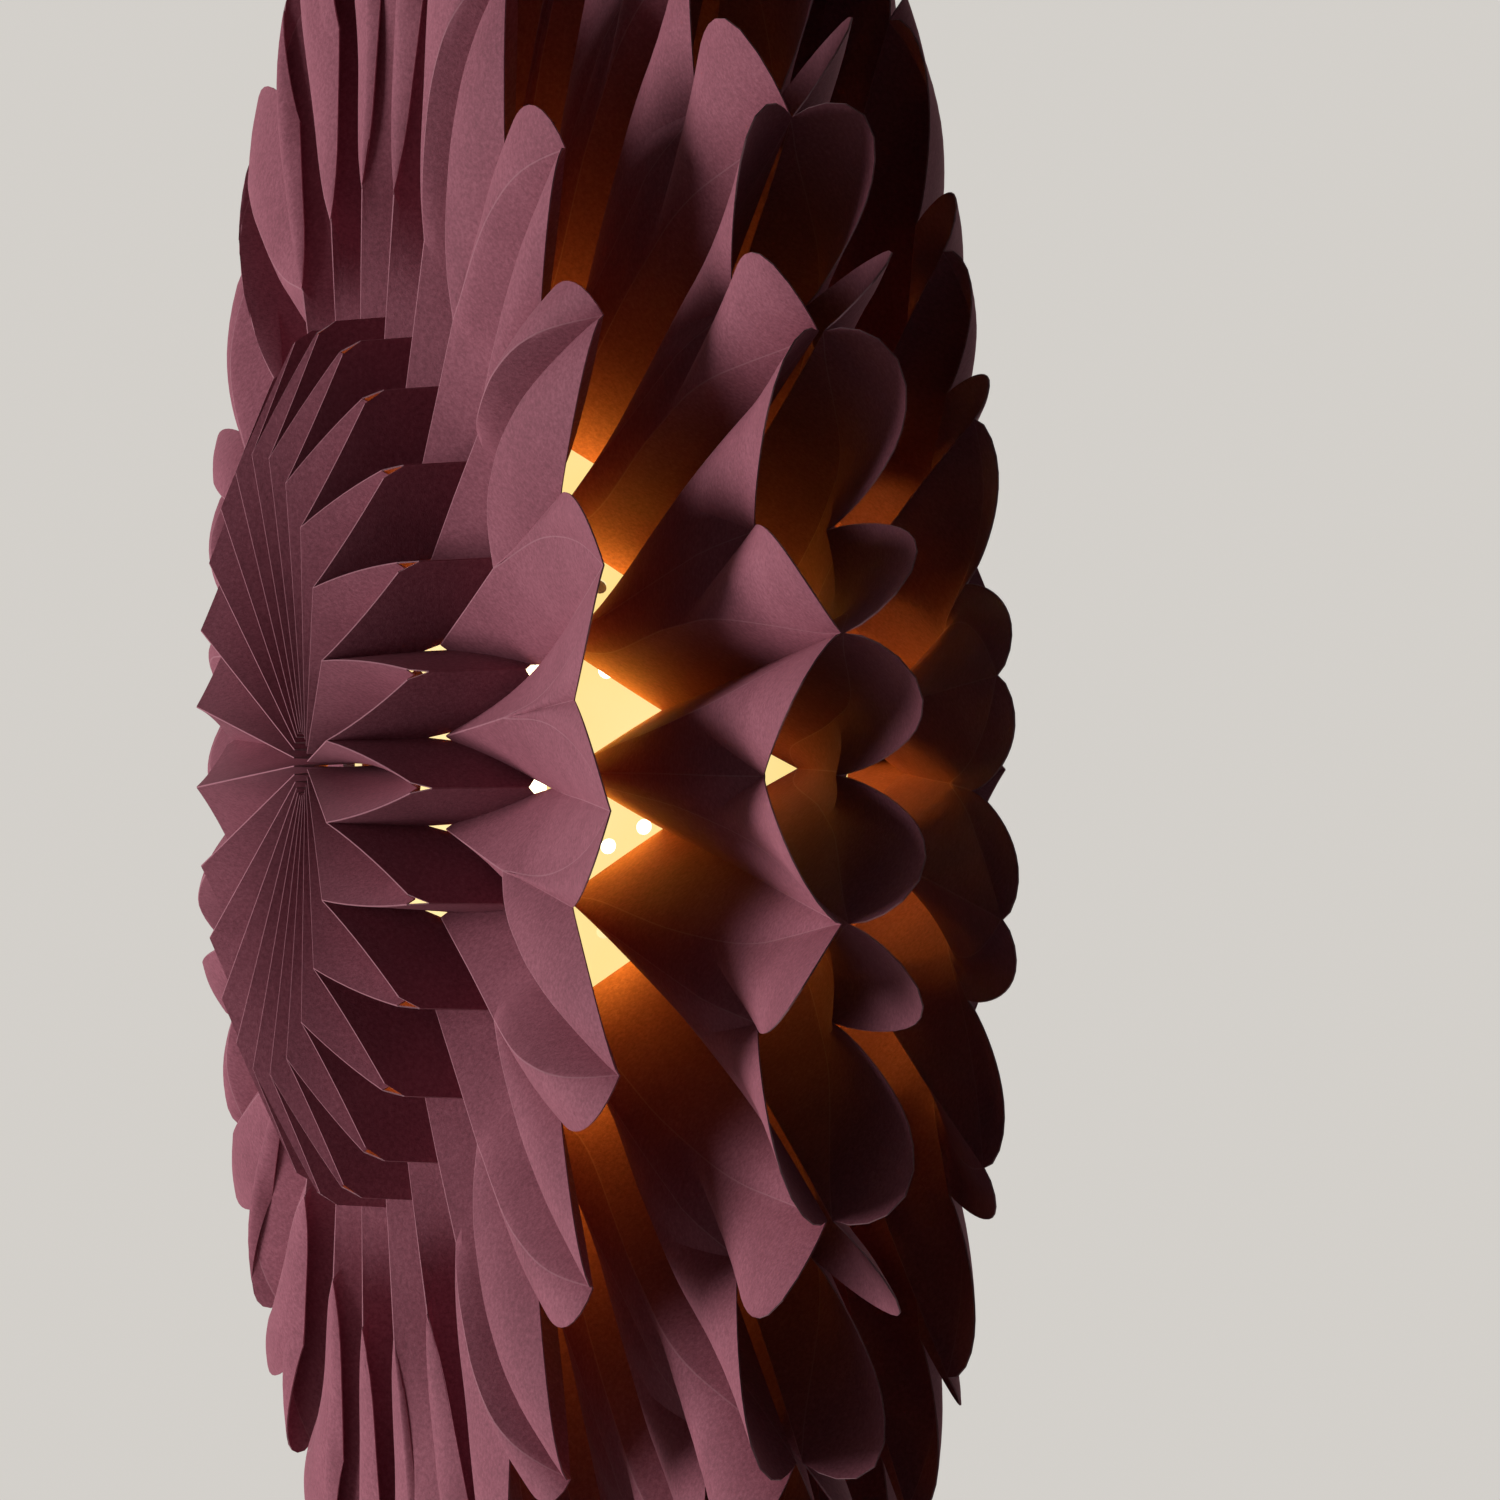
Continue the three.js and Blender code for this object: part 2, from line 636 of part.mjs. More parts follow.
function addBulb() {
  const cupRadius = bulbCapRadius - bulbCapWall;
  const taperStart = bulbCapTop - bulbCapTaper;
  add('bulb_cap', turned([
    [cupRadius, bulbCapBottom], [bulbCapRadius, bulbCapBottom], [bulbCapRadius, taperStart],
    [bulbInsulatorRadius, bulbCapTop], [bulbTipRadius, bulbCapTop], [bulbTipRadius, bulbCapTop - bulbCapWall],
    [bulbInsulatorRadius - bulbCapWall, bulbCapTop - bulbCapWall], [cupRadius, taperStart - bulbCapWall],
    [cupRadius, bulbCapBottom],
  ]), brass);
  const ringBottom = bulbCapTop + seatGap;
  const ringTop = ringBottom + bulbInsulatorHeight;
  add('bulb_insulator', rod(bulbInsulatorRadius, ringBottom, ringTop, turningSides), whiteCeramic);
  add('bulb_tip', rod(bulbTipRadius, bulbTop - bulbTipHeight, bulbTop, turningSides), zincSteel);
  const outside = glassOutline(globeRadius, bulbNeckRadius);
  const inside = glassOutline(globeRadius - globeWall, bulbNeckRadius - globeWall).reverse();
  add('bulb_globe', turned([...outside, ...inside]), clearGlass);
  const flareBottom = neckTop - stemFlareHeight;
  const stemBottom = neckTop - stemHeight;
  add('bulb_stem', turned([
    [0, stemBottom], [stemRadius, stemBottom], [stemRadius, flareBottom - stemFlareHeight],
    [stemFlareRadius, flareBottom], [stemFlareRadius, neckTop], [0, neckTop],
  ]), clearGlass);
  const filament = filamentGeometry(flareBottom - filamentInset, stemBottom + filamentRadius);
  for (let number = 1; number <= filamentCount; number += 1) {
    const turn = fullTurn * (number - 1 / 2) / filamentCount;
    add(`bulb_filament_${number}`, filament, glowFilament).rotation.z = turn;
  }
}

addShade();
addCordEntry();
addHolder();
addHolderInsides();
addBulb();

export default lamp;
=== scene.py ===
import json
import math

import bmesh
import bpy
from mathutils import Matrix, Vector

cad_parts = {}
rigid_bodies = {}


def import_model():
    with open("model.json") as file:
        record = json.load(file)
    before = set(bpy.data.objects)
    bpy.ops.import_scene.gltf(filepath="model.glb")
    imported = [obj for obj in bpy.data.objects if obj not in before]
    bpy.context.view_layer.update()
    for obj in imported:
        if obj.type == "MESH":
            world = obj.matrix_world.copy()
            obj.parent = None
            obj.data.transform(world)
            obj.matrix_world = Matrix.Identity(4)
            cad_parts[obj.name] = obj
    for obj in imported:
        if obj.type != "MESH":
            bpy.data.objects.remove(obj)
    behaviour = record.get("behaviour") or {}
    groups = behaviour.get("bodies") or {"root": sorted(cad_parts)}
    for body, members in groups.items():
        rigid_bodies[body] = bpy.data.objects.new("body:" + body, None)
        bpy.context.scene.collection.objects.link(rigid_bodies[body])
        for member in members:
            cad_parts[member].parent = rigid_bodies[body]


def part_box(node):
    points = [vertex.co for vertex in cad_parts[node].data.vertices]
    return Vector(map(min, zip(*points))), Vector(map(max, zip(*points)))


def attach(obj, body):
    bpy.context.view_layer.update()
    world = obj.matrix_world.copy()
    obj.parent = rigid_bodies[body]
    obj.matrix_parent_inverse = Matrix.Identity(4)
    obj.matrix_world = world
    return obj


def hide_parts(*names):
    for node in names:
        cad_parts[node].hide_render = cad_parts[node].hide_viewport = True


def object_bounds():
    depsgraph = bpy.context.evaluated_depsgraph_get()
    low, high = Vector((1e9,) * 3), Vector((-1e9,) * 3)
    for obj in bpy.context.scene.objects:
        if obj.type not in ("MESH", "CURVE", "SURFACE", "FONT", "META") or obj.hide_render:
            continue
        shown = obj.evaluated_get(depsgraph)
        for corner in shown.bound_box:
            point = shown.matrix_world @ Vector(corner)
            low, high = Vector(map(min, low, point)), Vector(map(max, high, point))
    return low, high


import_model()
cad_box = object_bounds()

# Places that the frame gives
drum_low, drum_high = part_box("opal_drum")
DRUM_CENTRE = (drum_low + drum_high) / 2
DRUM_RADIUS = (drum_high.x - drum_low.x) / 2
DRUM_HALF_LENGTH = (drum_high.y - drum_low.y) / 2

# Camera
CAMERA_AZIMUTH = math.radians(77.0)
CAMERA_RISE = math.radians(0.85)
CAMERA_ROLL = math.radians(-0.6)
CAMERA_DISTANCE = 8.0
CAMERA_FRAME = 0.375
CAMERA_SENSOR = 36
AIM_RIGHT = 0.0380
AIM_UP = 0.0024

# Pleats
PLEATS = 24
PLEAT_ANGLE = 2 * math.pi / PLEATS
MERGE_DISTANCE = 0.00002
FOLD_WIDTH = 0.00018
PAPER_THICKNESS = 0.0004
SMOOTH_ANGLE = math.radians(24)
HALF_SHARE = 0.5

# Rosette fold points, each a radius, a reach forward of the sheet's plane and a share of the
# way from the pleat's ridge to its groove
ROSETTE_TURNS = {"front": math.radians(5), "rear": math.radians(-2)}
ROSETTE_PLANE = 0.0372
HUB_RIDGE = (0.008, 0.0389, 0)
HUB_GROOVE = (0.008, 0.0136, 1)
CROWN = (0.0775, 0.0490, 0)
SHOULDER = (0.1103, 0.0330, 1)
CUP = (0.0843, 0.0212, 0)
SEAT = (0.1123, 0.0006, 1)
PETAL_START = (0.144, 0.0190, 0)
PETAL_CURL = (
    (0.153, 0.0216, 0.26), (0.164, 0.0236, 0.43), (0.177, 0.0246, 0.53), (0.189, 0.0246, 0.61),
    (0.203, 0.0226, 0.70), (0.213, 0.0190, 0.78), (0.220, 0.0148, 0.86), (0.226, 0.0101, 0.94),
)
PETAL_TIP = (0.230, 0.0060, 1)
PETAL_GROOVE = ((0.143, 0.0010, 1), (0.161, 0.0008, 1), (0.185, 0.0020, 1), (0.211, 0.0040, 1))
OPEN_CURL = (
    (0.152, 0.0176, 0.04), (0.163, 0.0160, 0.09), (0.175, 0.0148, 0.18), (0.187, 0.0138, 0.31),
    (0.199, 0.0128, 0.47), (0.209, 0.0123, 0.62), (0.217, 0.0120, 0.76), (0.224, 0.0118, 0.89),
)
STEEP_CURL = (
    (0.152, 0.0184, 0.04), (0.163, 0.0172, 0.06), (0.175, 0.0160, 0.08), (0.187, 0.0152, 0.12),
    (0.199, 0.0146, 0.20), (0.209, 0.0136, 0.34), (0.217, 0.0120, 0.56), (0.224, 0.0094, 0.80),
)
OPEN_TIP = (0.230, 0.0116, 1)
OPEN_GROOVE = ((0.143, 0.0036, 1), (0.161, 0.0054, 1), (0.185, 0.0075, 1), (0.211, 0.0099, 1))
PETAL_RIDGE = ((0.159, 0.0163, 0), (0.177, 0.0144, 0))
PETAL_NOTCH = (0.195, 0.0126, 0)
PETAL_BULGE = 0.0150
PETAL_FLARE = 0.0035
SHOULDER_CUT = 0.0036
CUP_CUT = 0.0040
SEAT_CUT = 0.0050

# Collar fold points. A lean brings a sheet's inner edge nearer its plane, and fades towards the top.
COLLAR_TURN = math.radians(-0.5)
COLLAR_PLANE = 0
COLLAR_LEANS = {"front": 0, "rear": 0.0115}
LEAN_FADE = 4
COLLAR_GROOVE = (0.1119, 0.0085, 1)
COLLAR_RIDGE = (0.1199, 0.0345, 0)
COLLAR_CURL = (
    (0.129, 0.0295, 0.25), (0.142, 0.0265, 0.38), (0.171, 0.0247, 0.48),
    (0.181, 0.0241, 0.51), (0.197, 0.0226, 0.57), (0.2125, 0.0208, 0.62),
    (0.2265, 0.0175, 0.70), (0.241, 0.0121, 0.81), (0.259, 0.0048, 0.94),
)
COLLAR_TIP = (0.272, 0.0006, 1)
COLLAR_GROOVE_LINE = ((0.150, 0.0062, 1), (0.200, 0.0042, 1), (0.240, 0.0024, 1))
COLLAR_RIDGE_LINE = ((0.137, 0.0325, 0), (0.1685, 0.0270, 0), (0.200, 0.0212, 0), (0.212, 0.0185, 0))
COLLAR_NOTCH = (0.230, 0.0105, 0)
OPEN_COLLAR_CURL = (
    (0.129, 0.0309, 0.12), (0.142, 0.0282, 0.20), (0.171, 0.0224, 0.30),
    (0.181, 0.0200, 0.34), (0.197, 0.0163, 0.42), (0.2125, 0.0125, 0.50),
    (0.2265, 0.0090, 0.60), (0.241, 0.0060, 0.74), (0.259, 0.0028, 0.90),
)
STEEP_COLLAR_CURL = (
    (0.129, 0.0326, 0.05), (0.142, 0.0312, 0.07), (0.171, 0.0266, 0.10),
    (0.181, 0.0250, 0.13), (0.197, 0.0222, 0.20), (0.2125, 0.0190, 0.32),
    (0.2265, 0.0152, 0.48), (0.241, 0.0104, 0.67), (0.259, 0.0044, 0.88),
)
COLLAR_BULGE = 0.034
COLLAR_FLARE = 0.011

# Grid of each panel, in pieces along and across
HUB_STEPS = 10
ACROSS_STEPS = 8
CUP_STEPS = 6
RUN_STEPS = 6
CURL_STEPS = 22
RIDGE_STEPS = 8
LOBE_ROWS = 9
LOBE_FULLNESS = 0.7
RIM_SAMPLES = 40
CURVE_SAMPLES = 12
HUB_BUCKLE = 0.0007
CUP_BUCKLE = 0.0004
PETAL_BUCKLE = 0.0008
LOBE_BUCKLE = 0.0012

# How far each petal is opened flat, from the camera's side round by the top. Below zero it is
# left as a plain steep fold.
ROSETTE_OPENING_SHARES = {
    "front": (
        1.0, 1.0, 0.0, 0.5, -0.3, -0.7, -1.0, -1.0, -0.8, 0.3, -0.6, 0.3,
        -0.5, 0.0, 0.4, -0.8, -1.0, -1.0, -1.0, -1.0, -0.7, -0.2, 0.5, 0.25,
    ),
    "rear": (
        1.0, 0.9, 0.6, 0.3, 0.1, 0.35, -0.5, 0.1, -0.8, 0.3, -0.6, 0.2,
        0.0, -0.4, 0.1, 0.35, -0.7, 0.15, -0.5, 0.3, 0.1, 0.4, 0.6, 0.9,
    ),
}
COLLAR_OPENING_SHARES = {
    "front": (
        0.9, 0.0, 0.1, 0.4, 0.15, -0.4, -0.6, 0.1, -0.5, 0.0, 0.2, -0.4,
        0.1, 0.3, -0.5, 0.2, -0.6, 0.1, -0.7, 0.0, 0.3, 0.1, 0.0, 0.85,
    ),
    "rear": (
        0.7, 0.2, 0.1, 0.0, 0.3, 0.1, -0.5, 0.0, -0.6, 0.1, 0.0, -0.4,
        0.3, 0.1, -0.5, 0.25, -0.4, 0.3, 0.0, 0.15, 0.2, 0.0, 0.2, 0.6,
    ),
}
# How far each groove leans round the lamp, in degrees, which squeezes the fold on one side of it
ROSETTE_SWINGS = {
    "front": (
        0, 0, 1.5, -1, 3, 7.5, 4, 8.5, 6, 7.5, -2, 0,
        0, 1, -3, -5, -8, -6, -8.5, -3, -8.5, -2, 0, -1,
    ),
    "rear": (
        0, 0, 1, -2, 2, 3, -3, 2, -4, 3, -2, 1,
        -1, 2, -3, 2, -4, 3, -3, 2, -2, 1, -1, 0,
    ),
}
COLLAR_SWINGS = {
    "front": (
        0, 0, 1, -1, 1.5, 3, -2, 3, -3, 2, -2, 1,
        -1, 2, -2, 3, -3, 2, -3, 2, -2, -1, 0, 0,
    ),
    "rear": (
        0, 0, 1, -1, 1.5, 2, -2, 2, -2, 1, -1, 1,
        -1, 1, -2, 2, -2, 2, -2, 1, -1.5, -1, 0, 0,
    ),
}
SWING_START = 0.1125
SWING_FULL = 0.140
SWAY_WAVES = ((5, 0.30, 0.6), (7, 0.24, 2.1), (11, 0.20, 4.0))
SWAY_ANGLE = math.radians(1.0)
SWAY_REACH = 0.0012
SWAY_START = 0.118
SWAY_FULL = 0.180


# Camera first, as nothing else depends on it
def add_camera():
    level_reach = math.cos(CAMERA_RISE)
    back = Vector((
        math.sin(CAMERA_AZIMUTH) * level_reach, -math.cos(CAMERA_AZIMUTH) * level_reach,
        math.sin(CAMERA_RISE),
    ))
    side = Vector((0, 0, 1)).cross(back).normalized()
    level = Matrix((side, back.cross(side), back)).transposed()
    turned = level @ Matrix.Rotation(CAMERA_ROLL, 3, "Z")
    right, up = turned.col[0], turned.col[1]
    aim = DRUM_CENTRE + right * AIM_RIGHT + up * AIM_UP
    data = bpy.data.cameras.new("camera")
    data.sensor_width = CAMERA_SENSOR
    data.lens = CAMERA_SENSOR * CAMERA_DISTANCE / CAMERA_FRAME
    data.clip_end = 4 * CAMERA_DISTANCE
    camera = bpy.data.objects.new("camera", data)
    bpy.context.scene.collection.objects.link(camera)
    camera.matrix_world = Matrix.Translation(aim + back * CAMERA_DISTANCE) @ turned.to_4x4()
    bpy.context.scene.camera = camera


# Node helpers
def link_nodes(tree, links):
    for source, output, target, slot in links:
        tree.links.new(source.outputs[output], target.inputs[slot])


def new_tree(name, kind, inputs, outputs):
    tree = bpy.data.node_groups.new(name, kind)
    for way, sockets in (("INPUT", inputs), ("OUTPUT", outputs)):
        for label, socket_type in sockets:
            tree.interface.new_socket(label, in_out=way, socket_type=socket_type)
    return tree


def run_tree(piece, tree, values):
    """Runs a geometry tree on a piece and keeps the result as its plain mesh."""
    modifier = piece.modifiers.new(tree.name, "NODES")
    modifier.node_group = tree
    for item in tree.interface.items_tree:
        if item.item_type == "SOCKET" and item.in_out == "INPUT" and item.name in values:
            modifier[item.identifier] = values[item.name]
    bake_modifiers(piece)


def bake_modifiers(piece):
    graph = bpy.context.evaluated_depsgraph_get()
    graph.update()
    mesh = bpy.data.meshes.new_from_object(piece.evaluated_get(graph), depsgraph=graph)
    piece.modifiers.clear()
    piece.data = mesh


def add_piece(name, mesh):
    piece = bpy.data.objects.new(name, mesh)
    bpy.context.scene.collection.objects.link(piece)
    return piece


# Materials
SPECKLE_DETAIL = 4
SPECKLE_ROUGHNESS = 0.7
CLOUD_DETAIL = 3
THREAD_DETAIL = 2
THREAD_DISTORTION = 2.5
THREAD_SHARE = 0.5


def grain_group():
    """Surface grain: a speckle, a cloudy tone and a height, all over Object coordinates."""
    tree = new_tree("surface_grain", "ShaderNodeTree", (
        ("Grain Scale", "NodeSocketFloat"), ("Cloud Scale", "NodeSocketFloat"),
    ), (("Speckle", "NodeSocketFloat"), ("Cloud", "NodeSocketFloat"), ("Height", "NodeSocketFloat")))
    nodes = tree.nodes
    source = nodes.new("NodeGroupInput")
    sink = nodes.new("NodeGroupOutput")
    place = nodes.new("ShaderNodeTexCoord")
    speckle = nodes.new("ShaderNodeTexNoise")
    speckle.inputs["Detail"].default_value = SPECKLE_DETAIL
    speckle.inputs["Roughness"].default_value = SPECKLE_ROUGHNESS
    cloud = nodes.new("ShaderNodeTexNoise")
    cloud.inputs["Detail"].default_value = CLOUD_DETAIL
    threads = nodes.new("ShaderNodeTexNoise")
    threads.inputs["Detail"].default_value = THREAD_DETAIL
    threads.inputs["Distortion"].default_value = THREAD_DISTORTION
    blend = nodes.new("ShaderNodeMath")
    blend.operation = "MULTIPLY_ADD"
    blend.inputs[1].default_value = THREAD_SHARE
    link_nodes(tree, (
        (place, "Object", speckle, "Vector"), (place, "Object", cloud, "Vector"),
        (place, "Object", threads, "Vector"), (source, "Grain Scale", speckle, "Scale"),
        (source, "Grain Scale", threads, "Scale"), (source, "Cloud Scale", cloud, "Scale"),
        (threads, "Fac", blend, 0), (speckle, "Fac", blend, 2),
        (speckle, "Fac", sink, "Speckle"), (cloud, "Fac", sink, "Cloud"), (blend, 0, sink, "Height"),
    ))
    return tree


def ramp(nodes, stops):
    node = nodes.new("ShaderNodeValToRGB")
    elements = node.color_ramp.elements
    while len(elements) < len(stops):
        elements.new(HALF_SHARE)
    for element, (place, colour) in zip(elements, stops):
        element.position = place
        element.color = (*colour, 1)
    return node


def new_material(name, roughness, metallic=0):
    material = bpy.data.materials.new(name)
    material.use_nodes = True
    shader = material.node_tree.nodes["Principled BSDF"]
    shader.inputs["Roughness"].default_value = roughness
    shader.inputs["Metallic"].default_value = metallic
    return material, material.node_tree, shader


TONE_SHARE = 0.35
TONE_STOP_SHARES = (0.42, 0.68, 0.90)
BUMP_DEPTH = 0.0002
FIBRE_SCALE = 900
PAPER_CLOUD_SCALE = 45
PAPER_ROUGHNESS = (0.66, 0.88)
PAPER_SPECULAR = 0.2
PAPER_BUMP = 0.5
FOLD_BUMP = 0.2
PLUM_DARK = (0.205, 0.060, 0.082)
PLUM = (0.300, 0.094, 0.128)
PLUM_LIGHT = (0.390, 0.134, 0.175)
# The lighter strip on each rounded fold: partly worn, stretched fibre and partly a painted highlight along
# the crease
FOLD_WEAR_AND_HIGHLIGHT_DIM = (0.30, 0.110, 0.142)
FOLD_WEAR_AND_HIGHLIGHT_BRIGHT = (0.38, 0.155, 0.190)
# The paper's cut edges: a lighter colour that is a painted highlight along each edge
EDGE_HIGHLIGHT_DIM = (0.30, 0.14, 0.165)
EDGE_HIGHLIGHT_BRIGHT = (0.42, 0.22, 0.25)
GLASS_INDEX = 1.45
GLAZE_WEIGHT = 0.6
BULB_GLOW = (0.90, 0.78, 0.52)
FILAMENT_GLOW = (1.0, 0.62, 0.24)
FILAMENT_STRENGTH = 4

# Finish of each other slot: grain and cloud scale, three tones, roughness range, metal, bump
FINISHES = {
    "card": (
        (700, 60), ((0.16, 0.07, 0.08), (0.20, 0.09, 0.10), (0.25, 0.12, 0.13)), (0.75, 0.92), 0, 0.4,
    ),
    "zinc_steel": (
        (1600, 120), ((0.50, 0.51, 0.54), (0.62, 0.63, 0.65), (0.72, 0.73, 0.74)), (0.26, 0.44), 1, 0.15,
    ),
    "brass": (
        (1500, 90), ((0.56, 0.38, 0.14), (0.74, 0.54, 0.22), (0.84, 0.66, 0.32)), (0.22, 0.42), 1, 0.12,
    ),
    "black_plastic": (
        (1300, 80), ((0.014, 0.014, 0.016), (0.022, 0.022, 0.025), (0.036, 0.036, 0.040)),
        (0.30, 0.50), 0, 0.25,
    ),
    "white_ceramic": (
        (900, 70), ((0.78, 0.75, 0.69), (0.86, 0.84, 0.79), (0.91, 0.90, 0.87)), (0.14, 0.28), 0, 0.06,
    ),
    "clear_glass": (
        (300, 40), ((0.96, 0.97, 0.96), (0.98, 0.985, 0.98), (1.0, 1.0, 1.0)), (0.0, 0.04), 0, 0.01,
    ),
    "glow": (
        (800, 200), ((0.20, 0.12, 0.06), (0.30, 0.18, 0.09), (0.42, 0.26, 0.12)), (0.50, 0.70), 0, 0.10,
    ),
}
PLAIN_SLOTS = ("card", "zinc_steel", "brass", "black_plastic")


def grained_material(name, grain_tree, scales, colours_in, roughness, metallic, bump):
    """A Principled surface whose colour, roughness and height all vary with its grain."""
    material, tree, shader = new_material(name, roughness[0], metallic)
    nodes = tree.nodes
    grain = nodes.new("ShaderNodeGroup")
    grain.node_tree = grain_tree
    grain.inputs["Grain Scale"].default_value = scales[0]
    grain.inputs["Cloud Scale"].default_value = scales[1]
    tone = nodes.new("ShaderNodeMath")
    tone.operation = "MULTIPLY_ADD"
    tone.inputs[1].default_value = TONE_SHARE
    colours = ramp(nodes, tuple(zip(TONE_STOP_SHARES, colours_in)))
    rough = nodes.new("ShaderNodeMapRange")
    rough.inputs["To Min"].default_value = roughness[0]
    rough.inputs["To Max"].default_value = roughness[1]
    bumps = nodes.new("ShaderNodeBump")
    bumps.inputs["Strength"].default_value = bump
    bumps.inputs["Distance"].default_value = BUMP_DEPTH
    link_nodes(tree, (
        (grain, "Cloud", tone, 0), (grain, "Speckle", tone, 2), (tone, 0, colours, "Fac"),
        (colours, "Color", shader, "Base Color"), (grain, "Speckle", rough, "Value"),
        (rough, "Result", shader, "Roughness"), (grain, "Height", bumps, "Height"),
        (bumps, "Normal", shader, "Normal"),
    ))
    return material, shader


def paper_material(name, grain_tree, colours, bump):
    material, shader = grained_material(
        name, grain_tree, (FIBRE_SCALE, PAPER_CLOUD_SCALE), colours, PAPER_ROUGHNESS, 0, bump)
    shader.inputs["Specular IOR Level"].default_value = PAPER_SPECULAR
    return material


def plain_finish(name, grain_tree):
    scales, colours, roughness, metallic, bump = FINISHES[name]
    return grained_material(name, grain_tree, scales, colours, roughness, metallic, bump)


def glass_material(name, grain_tree):
    material, shader = plain_finish(name, grain_tree)
    shader.inputs["Transmission Weight"].default_value = 1
    shader.inputs["IOR"].default_value = GLASS_INDEX
    shader.inputs["Emission Color"].default_value = (*BULB_GLOW, 1)
    shader.inputs["Emission Strength"].default_value = 1
    material.cycles.emission_sampling = "NONE"
    return material


def ceramic_material(name, grain_tree):
    material, shader = plain_finish(name, grain_tree)
    shader.inputs["Coat Weight"].default_value = GLAZE_WEIGHT
    return material


def filament_material(name, grain_tree):
    material, shader = plain_finish(name, grain_tree)
    shader.inputs["Emission Color"].default_value = (*FILAMENT_GLOW, 1)
    shader.inputs["Emission Strength"].default_value = FILAMENT_STRENGTH
    material.cycles.emission_sampling = "NONE"
    return material


def dress_frame_nodes(grain_tree):
    """Gives every node that stays as the frame has it a finished material in its own slot."""
    finishes = {name: plain_finish(name, grain_tree)[0] for name in PLAIN_SLOTS}
    finishes["clear_glass"] = glass_material("clear_glass", grain_tree)
    finishes["white_ceramic"] = ceramic_material("white_ceramic", grain_tree)
    finishes["glow"] = filament_material("glow", grain_tree)
    for piece in bpy.data.objects:
        for slot in piece.material_slots:
            if slot.material and slot.material.name in finishes:
                slot.material = finishes[slot.material.name]


# Folded sheets. A path is a list of fold points.
def between(start, end, share):
    return tuple(a + (b - a) * share for a, b in zip(start, end))


def place_fold(point, side):
    radius, reach, share = point
    angle = side * share * PLEAT_ANGLE / 2
    return Vector((radius * math.cos(angle), -reach, radius * math.sin(angle)))


def along(start, end, distance):
    length = (place_fold(start, 1) - place_fold(end, 1)).length
    return between(start, end, distance / length)


def smooth_path(points):
    """A fine path through the points, rounded between them."""
    ends = [between(points[1], points[0], 2)] + list(points) + [between(points[-2], points[-1], 2)]
    path = []
    for before, start, end, after in zip(ends, ends[1:], ends[2:], ends[3:]):
        for step in range(CURVE_SAMPLES):
            t = step / CURVE_SAMPLES
            path.append(tuple(
                ((2 * b) + (c - a) * t + (2 * a - 5 * b + 4 * c - d) * t ** 2
                 + (3 * b - a - 3 * c + d) * t ** 3) / 2
                for a, b, c, d in zip(before, start, end, after)
            ))
    path.append(tuple(points[-1]))
    return path


def resample(path, steps):
    """The same path in equal pieces."""
    places = [place_fold(point, 1) for point in path]
    reached = [0]
    for start, end in zip(places, places[1:]):
        reached.append(reached[-1] + (end - start).length)
    points = []
    spot = 0
    for step in range(steps + 1):
        wanted = reached[-1] * step / steps
        while spot < len(path) - 2 and reached[spot + 1] < wanted:
            spot += 1
        stretch = reached[spot + 1] - reached[spot]
        share = (wanted - reached[spot]) / stretch if stretch else 0
        points.append(between(path[spot], path[spot + 1], min(share, 1)))
    return points


def rim_path(notch, tip, bulge, flare):
    path = []
    for step in range(RIM_SAMPLES + 1):
        share = step / RIM_SAMPLES
        swell = max(math.sin(math.pi * share), 0) ** LOBE_FULLNESS
        radius, reach, turn = between(notch, tip, share)
        path.append((radius + bulge * swell, reach + flare * swell, turn))
    return path


def panel(near, far, start, end, buckle):
    """Fills the space between four paths. near and far run outwards, start and end run from near to far."""
    rows = []
    for i in range(len(near)):
        p = i / (len(near) - 1)
        row = []
        for j in range(len(start)):
            q = j / (len(start) - 1)
            sides = between(near[i], far[i], q)
            ends = between(start[j], end[j], p)
            corners = between(between(near[0], far[0], q), between(near[-1], far[-1], q), p)
            radius, reach, share = (a + b - c for a, b, c in zip(sides, ends, corners))
            lift = buckle * math.sin(math.pi * p) * math.sin(math.pi * q)
            row.append((radius, reach + lift, share))
        rows.append(row)
    return rows


CHANGES = ("opening", "steepening")


def pleat_mesh(name, shapes, folds):
    """One whole pleat: each panel and its mirror image, with its fold lines marked for rounding.

    shapes holds the panels three times: as folded, opened flat, and left as plain steep folds."""
    shape = bmesh.new()
    weight = shape.edges.layers.float.new("bevel_weight_edge")
    layers = [shape.verts.layers.float_vector.new(label) for label in CHANGES]
    for side in (1, -1):
        for panels in zip(*shapes):
            grid = []
            for rows in zip(*panels):
                grid.append([])
                for point, *others in zip(*rows):
                    vert = shape.verts.new(place_fold(point, side))
                    for layer, other in zip(layers, others):
                        radius, reach, share = (b - a for a, b in zip(point, other))
                        vert[layer] = (radius, reach, share * side * PLEAT_ANGLE / 2)
                    grid[-1].append(vert)
            for near, far in zip(grid, grid[1:]):
                for j in range(len(near) - 1):
                    corners = [near[j], far[j], far[j + 1], near[j + 1]]
                    shape.faces.new(corners if side > 0 else corners[::-1])
    lines = [{key_of(place_fold(point, side)) for point in path} for path in folds for side in (1, -1)]
    on_line = set().union(*lines)
    for edge in shape.edges:
        start, end = (key_of(vert.co) for vert in edge.verts)
        if start != end and start in on_line and end in on_line:
            if any(start in line and end in line for line in lines):
                edge[weight] = 1
    mesh = bpy.data.meshes.new(name)
    shape.to_mesh(mesh)
    shape.free()
    return mesh


def key_of(place):
    return tuple(round(value / MERGE_DISTANCE) for value in place)


